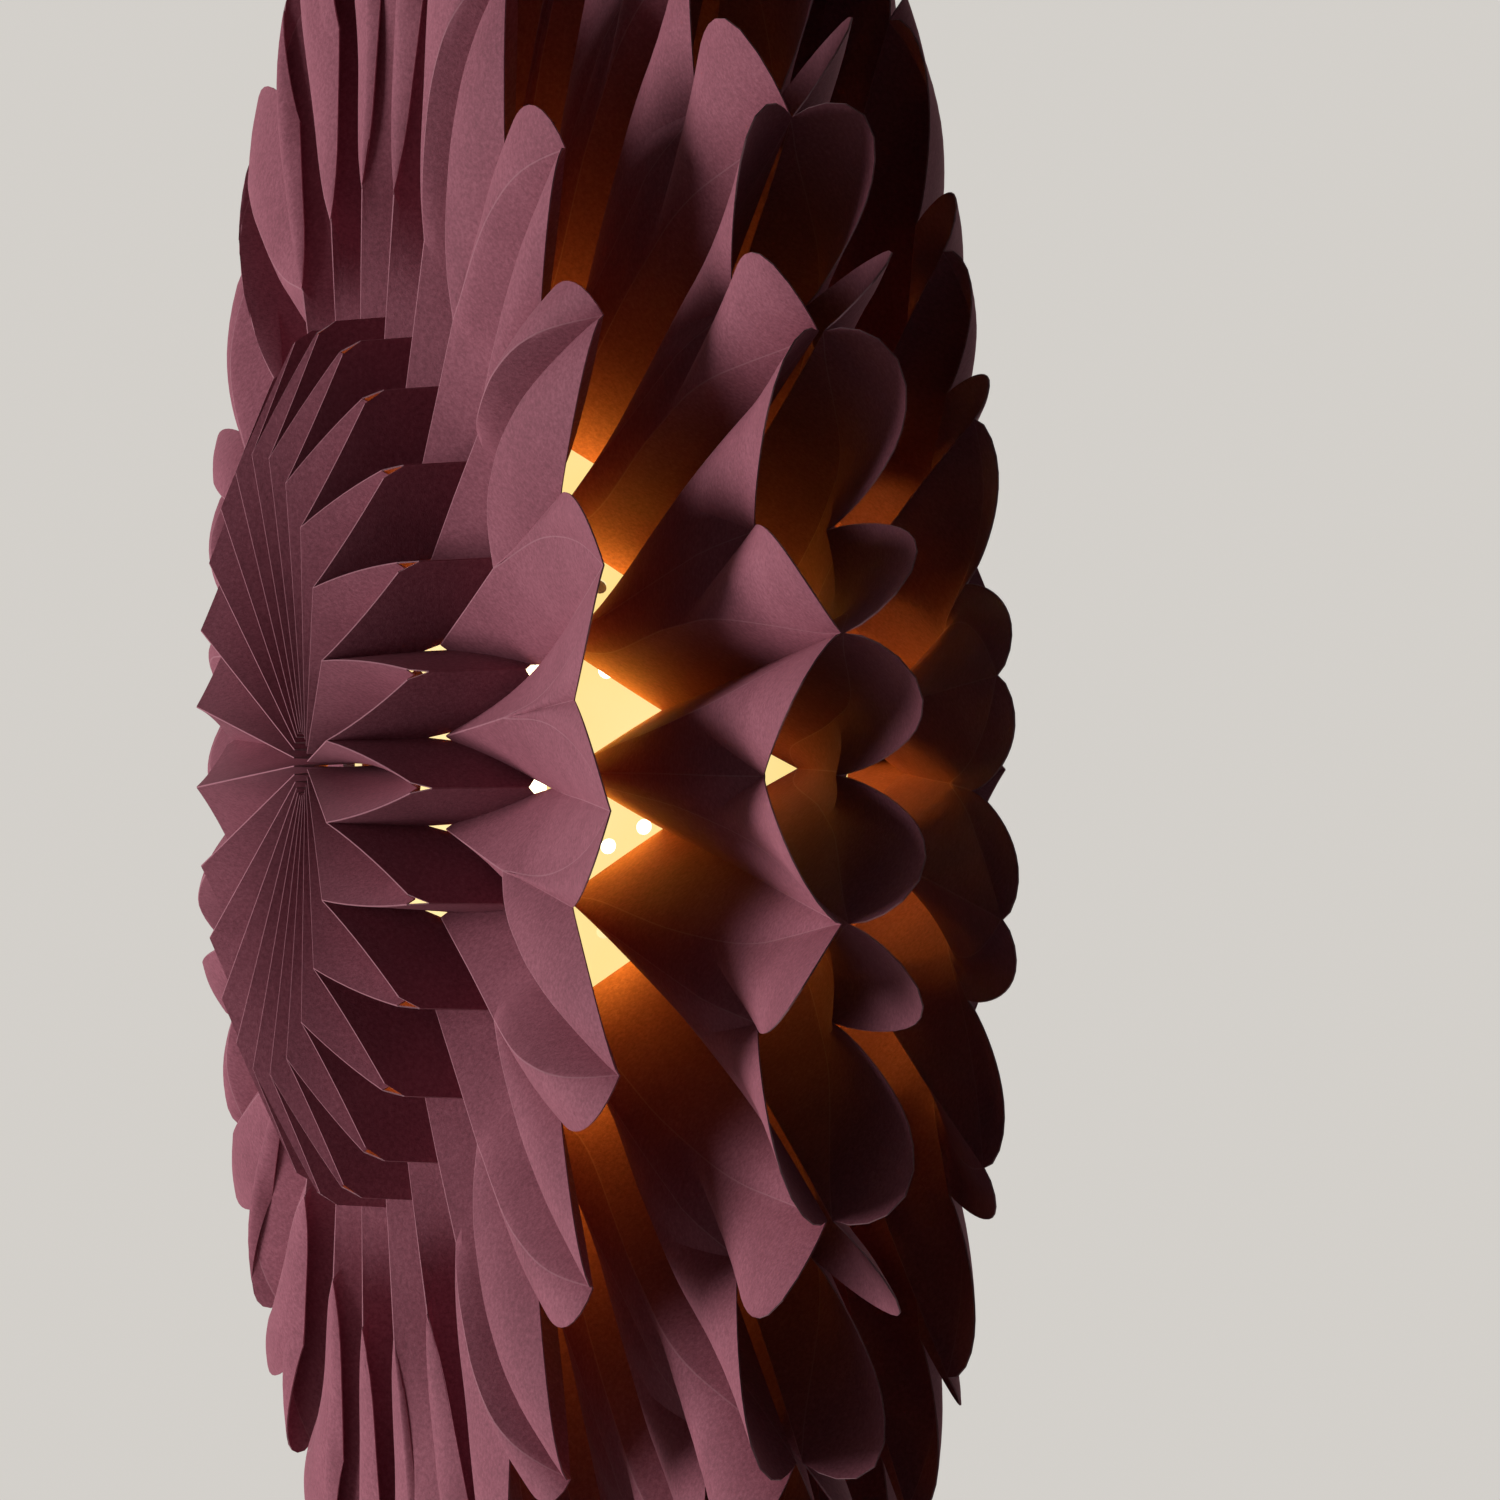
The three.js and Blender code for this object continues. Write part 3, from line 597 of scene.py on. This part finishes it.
def rosette_panels(petal_curl, petal_groove, petal_tip):
    shoulder_in = along(SHOULDER, HUB_GROOVE, SHOULDER_CUT)
    shoulder_side = along(SHOULDER, CROWN, SHOULDER_CUT)
    shoulder_out = along(SHOULDER, SEAT, SHOULDER_CUT)
    cup_in = along(CUP, CROWN, CUP_CUT)
    cup_side = along(CUP, SEAT, CUP_CUT)
    cup_out = along(CUP, PETAL_START, CUP_CUT)
    seat_in = along(SEAT, SHOULDER, SEAT_CUT)
    seat_side = along(SEAT, CUP, SEAT_CUT)
    seat_out = along(SEAT, PETAL_GROOVE[0], SEAT_CUT)
    hub_ridge = resample([HUB_RIDGE, CROWN], HUB_STEPS)
    hub_groove = resample([HUB_GROOVE, shoulder_in], HUB_STEPS)
    brow = resample([CROWN, shoulder_side], ACROSS_STEPS - 1)
    hub = panel(
        hub_ridge, hub_groove, resample([HUB_RIDGE, HUB_GROOVE], ACROSS_STEPS),
        brow + [shoulder_in], HUB_BUCKLE,
    )
    cup_ridge = resample([CROWN, cup_in], CUP_STEPS - 1)
    cup_groove = resample([shoulder_out, seat_in], CUP_STEPS)
    sill = resample([cup_side, seat_side], ACROSS_STEPS - 1)
    cup = panel(cup_ridge + [cup_side], cup_groove, brow + [shoulder_out], sill + [seat_in], CUP_BUCKLE)
    curl = resample(smooth_path([PETAL_START, *petal_curl, petal_tip]), CURL_STEPS)
    run = resample([cup_out, PETAL_START], RUN_STEPS)
    groove = resample(smooth_path([seat_out, *petal_groove, petal_tip]), RUN_STEPS + CURL_STEPS)
    start = [cup_out] + sill + [seat_out]
    blade = panel(run + curl[1:], groove, start, [petal_tip] * len(start), PETAL_BUCKLE)
    ridge = resample(smooth_path([PETAL_START, *PETAL_RIDGE, PETAL_NOTCH]), RIDGE_STEPS)
    rim = resample(rim_path(PETAL_NOTCH, petal_tip, PETAL_BULGE, PETAL_FLARE), CURL_STEPS - RIDGE_STEPS)
    lobe = panel(
        ridge + rim[1:], curl, [PETAL_START] * LOBE_ROWS, [petal_tip] * LOBE_ROWS, LOBE_BUCKLE,
    )
    folds = [hub_ridge, hub_groove, brow, cup_ridge, cup_groove, sill, run, groove, curl, ridge]
    return [hub, cup, blade, lobe], folds


def rosette_pleat():
    folded, folds = rosette_panels(PETAL_CURL, PETAL_GROOVE, PETAL_TIP)
    opened, _ = rosette_panels(OPEN_CURL, OPEN_GROOVE, OPEN_TIP)
    steep, _ = rosette_panels(STEEP_CURL, PETAL_GROOVE, PETAL_TIP)
    return pleat_mesh("rosette_pleat", (folded, opened, steep), folds)


def collar_panels(collar_curl):
    curl = resample(smooth_path([COLLAR_RIDGE, *collar_curl, COLLAR_TIP]), RUN_STEPS + CURL_STEPS)
    groove = resample(smooth_path([COLLAR_GROOVE, *COLLAR_GROOVE_LINE, COLLAR_TIP]), RUN_STEPS + CURL_STEPS)
    start = resample([COLLAR_RIDGE, COLLAR_GROOVE], ACROSS_STEPS)
    blade = panel(curl, groove, start, [COLLAR_TIP] * len(start), PETAL_BUCKLE)
    ridge_steps = RUN_STEPS + RIDGE_STEPS
    ridge = resample(smooth_path([COLLAR_RIDGE, *COLLAR_RIDGE_LINE, COLLAR_NOTCH]), ridge_steps)
    rim = resample(
        rim_path(COLLAR_NOTCH, COLLAR_TIP, COLLAR_BULGE, COLLAR_FLARE),
        RUN_STEPS + CURL_STEPS - ridge_steps,
    )
    lobe = panel(
        ridge + rim[1:], curl, [COLLAR_RIDGE] * LOBE_ROWS, [COLLAR_TIP] * LOBE_ROWS, LOBE_BUCKLE,
    )
    return [blade, lobe], [curl, groove, ridge]


def collar_pleat():
    folded, folds = collar_panels(COLLAR_CURL)
    opened, _ = collar_panels(OPEN_COLLAR_CURL)
    steep, _ = collar_panels(STEEP_COLLAR_CURL)
    return pleat_mesh("collar_pleat", (folded, opened, steep), folds)


def pleat_ring_tree():
    """Repeats one pleat round the Y axis and joins the copies into one sheet."""
    tree = new_tree("pleat_ring", "GeometryNodeTree", (
        ("Pleat", "NodeSocketGeometry"), ("Pleats", "NodeSocketInt"),
        ("Pleat Angle", "NodeSocketFloat"), ("Sheet Turn", "NodeSocketFloat"),
        ("Merge Distance", "NodeSocketFloat"), ("Paper", "NodeSocketMaterial"),
    ), (("Sheet", "NodeSocketGeometry"),))
    nodes = tree.nodes
    source = nodes.new("NodeGroupInput")
    sink = nodes.new("NodeGroupOutput")
    points = nodes.new("GeometryNodePoints")
    index = nodes.new("GeometryNodeInputIndex")
    angle = nodes.new("ShaderNodeMath")
    angle.operation = "MULTIPLY_ADD"
    turn = nodes.new("ShaderNodeCombineXYZ")
    rotation = nodes.new("FunctionNodeEulerToRotation")
    copies = nodes.new("GeometryNodeInstanceOnPoints")
    realize = nodes.new("GeometryNodeRealizeInstances")
    merge = nodes.new("GeometryNodeMergeByDistance")
    finish = nodes.new("GeometryNodeSetMaterial")
    link_nodes(tree, (
        (source, "Pleats", points, "Count"), (index, 0, angle, 0),
        (source, "Pleat Angle", angle, 1), (source, "Sheet Turn", angle, 2),
        (angle, 0, turn, "Y"), (turn, 0, rotation, 0), (points, 0, copies, "Points"),
        (source, "Pleat", copies, "Instance"), (rotation, 0, copies, "Rotation"),
        (copies, 0, realize, 0), (realize, 0, merge, "Geometry"),
        (source, "Merge Distance", merge, "Distance"), (merge, 0, finish, "Geometry"),
        (source, "Paper", finish, "Material"), (finish, 0, sink, "Sheet"),
    ))
    return tree


def rise_between(start, full, value):
    return min(max((value - start) / (full - start), 0), 1)


def shape_petals(mesh, turn, openings, swings, lean):
    """Opens or steepens each petal by its own share, then leans its groove and lets the sheet sway.

    lean moves the sheet's inner edge towards its plane, and its tips not at all. It fades towards
    the top, where the cord gland stands."""
    changes = [mesh.attributes[label].data for label in CHANGES]
    for vert, opening, steepening in zip(mesh.vertices, *changes):
        x, y, z = vert.co
        radius, angle = math.hypot(x, z), math.atan2(z, x)
        petal = round((angle - turn) / PLEAT_ANGLE + HALF_SHARE) % PLEATS
        opened = openings[petal]
        more_radius, more_reach, more_angle = (opening if opened > 0 else steepening).vector * abs(opened)
        ridge = round((angle - turn) / PLEAT_ANGLE)
        from_ridge = abs((angle - turn) / PLEAT_ANGLE - ridge) / HALF_SHARE
        swing = math.radians(swings[petal]) * from_ridge
        share = rise_between(SWAY_START, SWAY_FULL, radius)
        sway = sum(size * math.sin(count * angle + start) for count, size, start in SWAY_WAVES)
        lift = sum(size * math.cos(count * angle + 2 * start) for count, size, start in SWAY_WAVES)
        angle += more_angle + sway * share * SWAY_ANGLE
        angle += swing * rise_between(SWING_START, SWING_FULL, radius)
        y -= more_reach + lift * share * SWAY_REACH
        level = 1 - max(math.sin(angle), 0) ** LEAN_FADE
        y += lean * level * rise_between(COLLAR_TIP[0], COLLAR_GROOVE[0], radius)
        radius += more_radius
        vert.co = (radius * math.cos(angle), y, radius * math.sin(angle))
    for label in CHANGES:
        mesh.attributes.remove(mesh.attributes[label])


def folded_sheet(name, pleat, tree, turn, plane, openings, swings, lean, facing, papers):
    """One sheet of paper: pleats joined in a ring, folds rounded, and the paper's thickness added."""
    paper, fold_wear_and_highlight, edge = papers
    sheet = add_piece(name, pleat.copy())
    run_tree(sheet, tree, {
        "Pleats": PLEATS, "Pleat Angle": PLEAT_ANGLE, "Sheet Turn": -turn,
        "Merge Distance": MERGE_DISTANCE, "Paper": paper,
    })
    mesh = sheet.data
    shape_petals(mesh, turn, openings, swings, lean)
    mesh.transform(Matrix.Translation((0, -plane, 0)))
    if facing < 0:
        mesh.transform(Matrix.Scale(-1, 4, (0, 1, 0)))
        mesh.flip_normals()
    mesh.transform(Matrix.Translation(DRUM_CENTRE))
    mesh.materials.clear()
    for material in (paper, fold_wear_and_highlight, edge):
        mesh.materials.append(material)
    rounding = sheet.modifiers.new("fold_rounding", "BEVEL")
    rounding.limit_method = "WEIGHT"
    rounding.width = FOLD_WIDTH
    rounding.segments = 1
    rounding.use_clamp_overlap = False
    # The rounded folds take the lighter fold paper, which is partly wear and partly a painted highlight
    rounding.material = 1
    body = sheet.modifiers.new("paper_thickness", "SOLIDIFY")
    body.thickness = PAPER_THICKNESS
    body.offset = 0
    # The sheet's cut edges take the edge paper, a painted highlight
    body.material_offset_rim = 2
    bake_modifiers(sheet)
    sheet.data.shade_smooth()
    sheet.data.set_sharp_from_angle(angle=SMOOTH_ANGLE)
    return sheet


def add_sheets(papers):
    tree = pleat_ring_tree()
    rosette = rosette_pleat()
    collar = collar_pleat()
    for side, facing in (("front", 1), ("rear", -1)):
        flower = folded_sheet(
            f"{side}_petals", rosette, tree, ROSETTE_TURNS[side], ROSETTE_PLANE,
            ROSETTE_OPENING_SHARES[side], ROSETTE_SWINGS[side], 0, facing, papers,
        )
        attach(flower, f"{side}_flower")
        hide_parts(f"{side}_rosette")
        star = folded_sheet(
            f"{side}_star", collar, tree, COLLAR_TURN, COLLAR_PLANE, COLLAR_OPENING_SHARES[side],
            COLLAR_SWINGS[side], COLLAR_LEANS[side], facing, papers,
        )
        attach(star, "shade")
        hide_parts(f"{side}_collar")


# Opal drum with its rows of pin holes
HOLE_RADIUS = 0.0020
HOLE_SIDES = 14
HOLE_ROWS = 8
HOLES_PER_ROW = 32
HOLE_ROW_PITCH = 0.0089
HOLE_SHIFT_SHARE = 0.498
HOLE_SHIFT_STEP_SHARE = -0.7225
HOLE_SHIFT_GROWTH_SHARE = 0.3135
HOLE_DEPTH = 0.006
TOP_CLEAR = 0.022
DRUM_WALL = 0.0008
DRUM_SIDES = 192
GLAND_HOLE_RADIUS = 0.014
SCREW_HOLE_RADIUS = 0.0018
SCREW_HOLE_PLACE = 0.0278
OPAL_EDGE = (0.99, 0.73, 0.25)
OPAL_MIDDLE = (1.0, 0.80, 0.35)
OPAL_INSIDE = (0.98, 0.80, 0.42)
OPAL_BASE = (0.12, 0.10, 0.07)
OPAL_ROUGHNESS = 0.55
OPAL_CLOUD_SCALE = 14
OPAL_GRAIN_SCALE = 1400
OPAL_BUMP = 0.25
OPAL_STOP_SHARES = (0.35, 0.65)


def ring_profile_mesh(name, profile, sides):
    """Turns a closed profile of radius and place along Y round the Y axis."""
    shape = bmesh.new()
    rings = []
    for step in range(sides):
        angle = 2 * math.pi * step / sides
        rings.append([shape.verts.new((r * math.cos(angle), y, r * math.sin(angle))) for r, y in profile])
    for now, after in zip(rings, rings[1:] + rings[:1]):
        for j in range(len(profile)):
            k = (j + 1) % len(profile)
            shape.faces.new((now[j], now[k], after[k], after[j]))
    bmesh.ops.recalc_face_normals(shape, faces=shape.faces)
    mesh = bpy.data.meshes.new(name)
    shape.to_mesh(mesh)
    shape.free()
    return mesh


def punch_tree():
    """Stands a round punch on every point, aimed away from the Y axis."""
    tree = new_tree("hole_punches", "GeometryNodeTree", (
        ("Points", "NodeSocketGeometry"), ("Radius", "NodeSocketFloat"),
        ("Depth", "NodeSocketFloat"), ("Sides", "NodeSocketInt"), ("Material", "NodeSocketMaterial"),
    ), (("Punches", "NodeSocketGeometry"),))
    nodes = tree.nodes
    source = nodes.new("NodeGroupInput")
    sink = nodes.new("NodeGroupOutput")
    punch = nodes.new("GeometryNodeMeshCylinder")
    place = nodes.new("GeometryNodeInputPosition")
    outward = nodes.new("ShaderNodeVectorMath")
    outward.operation = "MULTIPLY"
    outward.inputs[1].default_value = (1, 0, 1)
    aim = nodes.new("FunctionNodeAlignRotationToVector")
    copies = nodes.new("GeometryNodeInstanceOnPoints")
    realize = nodes.new("GeometryNodeRealizeInstances")
    finish = nodes.new("GeometryNodeSetMaterial")
    link_nodes(tree, (
        (source, "Radius", punch, "Radius"), (source, "Depth", punch, "Depth"),
        (source, "Sides", punch, "Vertices"), (place, 0, outward, 0), (outward, 0, aim, "Vector"),
        (source, "Points", copies, "Points"), (punch, "Mesh", copies, "Instance"),
        (aim, "Rotation", copies, "Rotation"), (copies, 0, realize, 0),
        (realize, 0, finish, "Geometry"), (source, "Material", finish, "Material"),
        (finish, 0, sink, "Punches"),
    ))
    return tree


def point_mesh(name, places):
    mesh = bpy.data.meshes.new(name)
    mesh.from_pydata(places, [], [])
    return mesh


def pin_hole_places():
    places = []
    for row in range(HOLE_ROWS):
        shift = (HOLE_SHIFT_SHARE + HOLE_SHIFT_STEP_SHARE * row + HOLE_SHIFT_GROWTH_SHARE * row ** 2) % 1
        y = (row - (HOLE_ROWS - 1) / 2) * HOLE_ROW_PITCH
        for step in range(HOLES_PER_ROW):
            angle = 2 * math.pi * (step + shift) / HOLES_PER_ROW
            x, z = DRUM_RADIUS * math.cos(angle), DRUM_RADIUS * math.sin(angle)
            if z < 0 or abs(x) > TOP_CLEAR:
                places.append((x, y, z))
    return places


def glowing_material(name, low, high):
    """Opal plastic lit from behind: soft clouds in the glow and a fine grain."""
    material, tree, shader = new_material(name, OPAL_ROUGHNESS)
    nodes = tree.nodes
    place = nodes.new("ShaderNodeTexCoord")
    cloud = nodes.new("ShaderNodeTexNoise")
    cloud.inputs["Scale"].default_value = OPAL_CLOUD_SCALE
    cloud.inputs["Detail"].default_value = CLOUD_DETAIL
    grain = nodes.new("ShaderNodeTexNoise")
    grain.inputs["Scale"].default_value = OPAL_GRAIN_SCALE
    bumps = nodes.new("ShaderNodeBump")
    bumps.inputs["Strength"].default_value = OPAL_BUMP
    bumps.inputs["Distance"].default_value = BUMP_DEPTH
    colours = ramp(nodes, tuple(zip(OPAL_STOP_SHARES, (low, high))))
    shader.inputs["Base Color"].default_value = (*OPAL_BASE, 1)
    shader.inputs["Emission Strength"].default_value = 1
    link_nodes(tree, (
        (place, "Object", cloud, "Vector"), (place, "Object", grain, "Vector"),
        (cloud, "Fac", colours, "Fac"), (colours, "Color", shader, "Emission Color"),
        (grain, "Fac", bumps, "Height"), (bumps, "Normal", shader, "Normal"),
    ))
    material.cycles.emission_sampling = "NONE"
    return material


def cut_with(piece, cutter):
    cut = piece.modifiers.new("cut", "BOOLEAN")
    cut.object = cutter
    cut.solver = "EXACT"
    bake_modifiers(piece)
    bpy.data.objects.remove(cutter)


def add_drum():
    outside = glowing_material("opal_sheet", OPAL_EDGE, OPAL_MIDDLE)
    inside = glowing_material("opal_inside", OPAL_INSIDE, OPAL_INSIDE)
    low, high = DRUM_RADIUS - DRUM_WALL, DRUM_RADIUS
    ends = DRUM_HALF_LENGTH
    mesh = ring_profile_mesh("drum", ((low, -ends), (high, -ends), (high, ends), (low, ends)), DRUM_SIDES)
    mesh.materials.append(outside)
    drum = add_piece("lit_drum", mesh)
    tree = punch_tree()
    screw_holes = [(0, side * SCREW_HOLE_PLACE, DRUM_RADIUS) for side in (1, -1)]
    for places, radius in (
        (pin_hole_places(), HOLE_RADIUS), ([(0, 0, DRUM_RADIUS)], GLAND_HOLE_RADIUS),
        (screw_holes, SCREW_HOLE_RADIUS),
    ):
        punches = add_piece("punches", point_mesh("punches", places))
        run_tree(punches, tree, {
            "Radius": radius, "Depth": HOLE_DEPTH, "Sides": HOLE_SIDES, "Material": outside,
        })
        cut_with(drum, punches)
    mesh = drum.data
    mesh.materials.append(inside)
    for face in mesh.polygons:
        towards = Vector((face.center.x, 0, face.center.z))
        if face.normal.dot(towards) < 0:
            face.material_index = len(mesh.materials) - 1
    mesh.transform(Matrix.Translation(DRUM_CENTRE))
    mesh.shade_smooth()
    mesh.set_sharp_from_angle(angle=SMOOTH_ANGLE)
    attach(drum, "shade")
    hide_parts("opal_drum")
    drum.visible_glossy = False
    drum.visible_diffuse = False


# Studio
WORLD_COLOUR = (0.655, 0.630, 0.595)
WORLD_FILL = 0.02
FLOOR_DROP = 1.0
FLOOR_RADIUS = 6
FLOOR_SIDES = 96
FLOOR_COLOUR = (0.40, 0.385, 0.365)
FLOOR_ROUGHNESS = 0.9
FLOOR_PALE_SHARE = 0.75
KEY_TURN = math.radians(-12)
KEY_RISE = math.radians(-5)
KEY_DISTANCE = 2.6
KEY_SIZE = 1.7
KEY_POWER = 63
KEY_COLOUR = (1.0, 0.98, 1.0)
GLOW_LAMPS = 24
GLOW_POWER = 0.021
GLOW_COLOUR = (1.0, 0.56, 0.04)
GLOW_STAND_OFF = 0.0004
GLOW_BACK = -0.008
BULB_POWER = 1.4
BULB_COLOUR = (1.0, 0.56, 0.04)
BULB_RADIUS = 0.012


def ray_mix(tree, seen, unseen):
    """Joins two shaders: the first for the camera, mirrors and glass, the second for the light itself."""
    nodes = tree.nodes
    path = nodes.new("ShaderNodeLightPath")
    most = nodes.new("ShaderNodeMath")
    most.operation = "MAXIMUM"
    most_of_all = nodes.new("ShaderNodeMath")
    most_of_all.operation = "MAXIMUM"
    mix = nodes.new("ShaderNodeMixShader")
    link_nodes(tree, (
        (path, "Is Camera Ray", most, 0), (path, "Is Glossy Ray", most, 1),
        (most, 0, most_of_all, 0), (path, "Is Transmission Ray", most_of_all, 1),
        (most_of_all, 0, mix, "Fac"), (unseen, 0, mix, 1), (seen, 0, mix, 2),
    ))
    return mix


def add_world():
    world = bpy.data.worlds.new("studio")
    bpy.context.scene.world = world
    world.use_nodes = True
    tree = world.node_tree
    tree.nodes.clear()
    backdrop = tree.nodes.new("ShaderNodeBackground")
    backdrop.inputs["Color"].default_value = (*WORLD_COLOUR, 1)
    fill = tree.nodes.new("ShaderNodeBackground")
    fill.inputs["Color"].default_value = (*WORLD_COLOUR, 1)
    fill.inputs["Strength"].default_value = WORLD_FILL
    output = tree.nodes.new("ShaderNodeOutputWorld")
    mix = ray_mix(tree, backdrop, fill)
    tree.links.new(mix.outputs[0], output.inputs["Surface"])


def add_floor():
    """A wide disc far below the lamp, which shows the camera mostly the backdrop's own pale tone."""
    material, tree, shader = new_material("floor", FLOOR_ROUGHNESS)
    shader.inputs["Base Color"].default_value = (*FLOOR_COLOUR, 1)
    pale = tree.nodes.new("ShaderNodeEmission")
    pale.inputs["Color"].default_value = (*WORLD_COLOUR, 1)
    seen = tree.nodes.new("ShaderNodeMixShader")
    seen.inputs["Fac"].default_value = FLOOR_PALE_SHARE
    link_nodes(tree, ((shader, 0, seen, 1), (pale, 0, seen, 2)))
    mix = ray_mix(tree, seen, shader)
    tree.links.new(mix.outputs[0], tree.nodes["Material Output"].inputs["Surface"])
    material.cycles.emission_sampling = "NONE"
    shape = bmesh.new()
    bmesh.ops.create_circle(shape, cap_ends=True, segments=FLOOR_SIDES, radius=FLOOR_RADIUS)
    mesh = bpy.data.meshes.new("floor")
    shape.to_mesh(mesh)
    shape.free()
    mesh.transform(Matrix.Translation((0, 0, cad_box[0][2] - FLOOR_DROP)))
    mesh.materials.append(material)
    floor = add_piece("floor", mesh)


def add_key():
    key = bpy.data.lights.new("key", "AREA")
    key.shape = "DISK"
    key.size = KEY_SIZE
    key.energy = KEY_POWER
    key.color = KEY_COLOUR
    lamp = bpy.data.objects.new("key", key)
    bpy.context.scene.collection.objects.link(lamp)
    way = Vector((
        math.cos(KEY_RISE) * math.sin(KEY_TURN), -math.cos(KEY_RISE) * math.cos(KEY_TURN),
        math.sin(KEY_RISE),
    ))
    lamp.location = DRUM_CENTRE + way * KEY_DISTANCE
    lamp.rotation_euler = way.to_track_quat("Z", "Y").to_euler()
    lamp.visible_camera = False


def add_bulb_light():
    """The lit filament. Its light reaches the paper past the drum's ends and through the pin holes."""
    light = bpy.data.lights.new("bulb_light", "POINT")
    light.energy = BULB_POWER
    light.color = BULB_COLOUR
    light.shadow_soft_size = BULB_RADIUS
    lamp = bpy.data.objects.new("bulb_light", light)
    bpy.context.scene.collection.objects.link(lamp)
    globe_low, globe_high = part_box("bulb_globe")
    lamp.location = (globe_low + globe_high) / 2
    lamp.visible_camera = False
    lamp.visible_glossy = False
    lamp.visible_transmission = False
    globe = bpy.data.objects["bulb_globe"]
    globe.visible_shadow = False
    globe.visible_glossy = False
    globe.visible_diffuse = False


def add_glow():
    """The light that the front of the drum's wall throws on the paper: flat lamps round it, facing out."""
    glow = bpy.data.lights.new("drum_glow", "AREA")
    glow.shape = "RECTANGLE"
    glow.size = 2 * math.pi * DRUM_RADIUS / GLOW_LAMPS
    glow.size_y = DRUM_HALF_LENGTH + GLOW_BACK
    glow.energy = GLOW_POWER
    glow.color = GLOW_COLOUR
    for step in range(GLOW_LAMPS):
        angle = 2 * math.pi * step / GLOW_LAMPS
        out = Vector((math.cos(angle), 0, math.sin(angle)))
        axes = Matrix((out.cross(Vector((0, 1, 0))), Vector((0, 1, 0)), -out)).transposed()
        lamp = bpy.data.objects.new("drum_glow", glow)
        bpy.context.scene.collection.objects.link(lamp)
        middle = Vector((0, (GLOW_BACK - DRUM_HALF_LENGTH) / 2, 0))
        place = DRUM_CENTRE + middle + out * (DRUM_RADIUS + GLOW_STAND_OFF)
        lamp.matrix_world = Matrix.Translation(place) @ axes.to_4x4()
        lamp.visible_camera = False
        lamp.visible_glossy = False


scene = bpy.context.scene
scene.view_settings.view_transform = "Standard"
add_camera()
grain_tree = grain_group()
dress_frame_nodes(grain_tree)
plum = paper_material("plum_paper", grain_tree, (PLUM_DARK, PLUM, PLUM_LIGHT), PAPER_BUMP)
# Fold paper: lighter than the sheet, partly wear and partly a painted highlight along each fold
folds = paper_material("paper_fold", grain_tree, (FOLD_WEAR_AND_HIGHLIGHT_DIM, FOLD_WEAR_AND_HIGHLIGHT_BRIGHT, FOLD_WEAR_AND_HIGHLIGHT_BRIGHT), FOLD_BUMP)
# Edge paper: a painted highlight along the cut edges
edges = paper_material("paper_edge", grain_tree, (EDGE_HIGHLIGHT_DIM, EDGE_HIGHLIGHT_BRIGHT, EDGE_HIGHLIGHT_BRIGHT), FOLD_BUMP)
add_sheets((plum, folds, edges))
add_drum()
add_world()
add_floor()
add_key()
add_bulb_light()
add_glow()
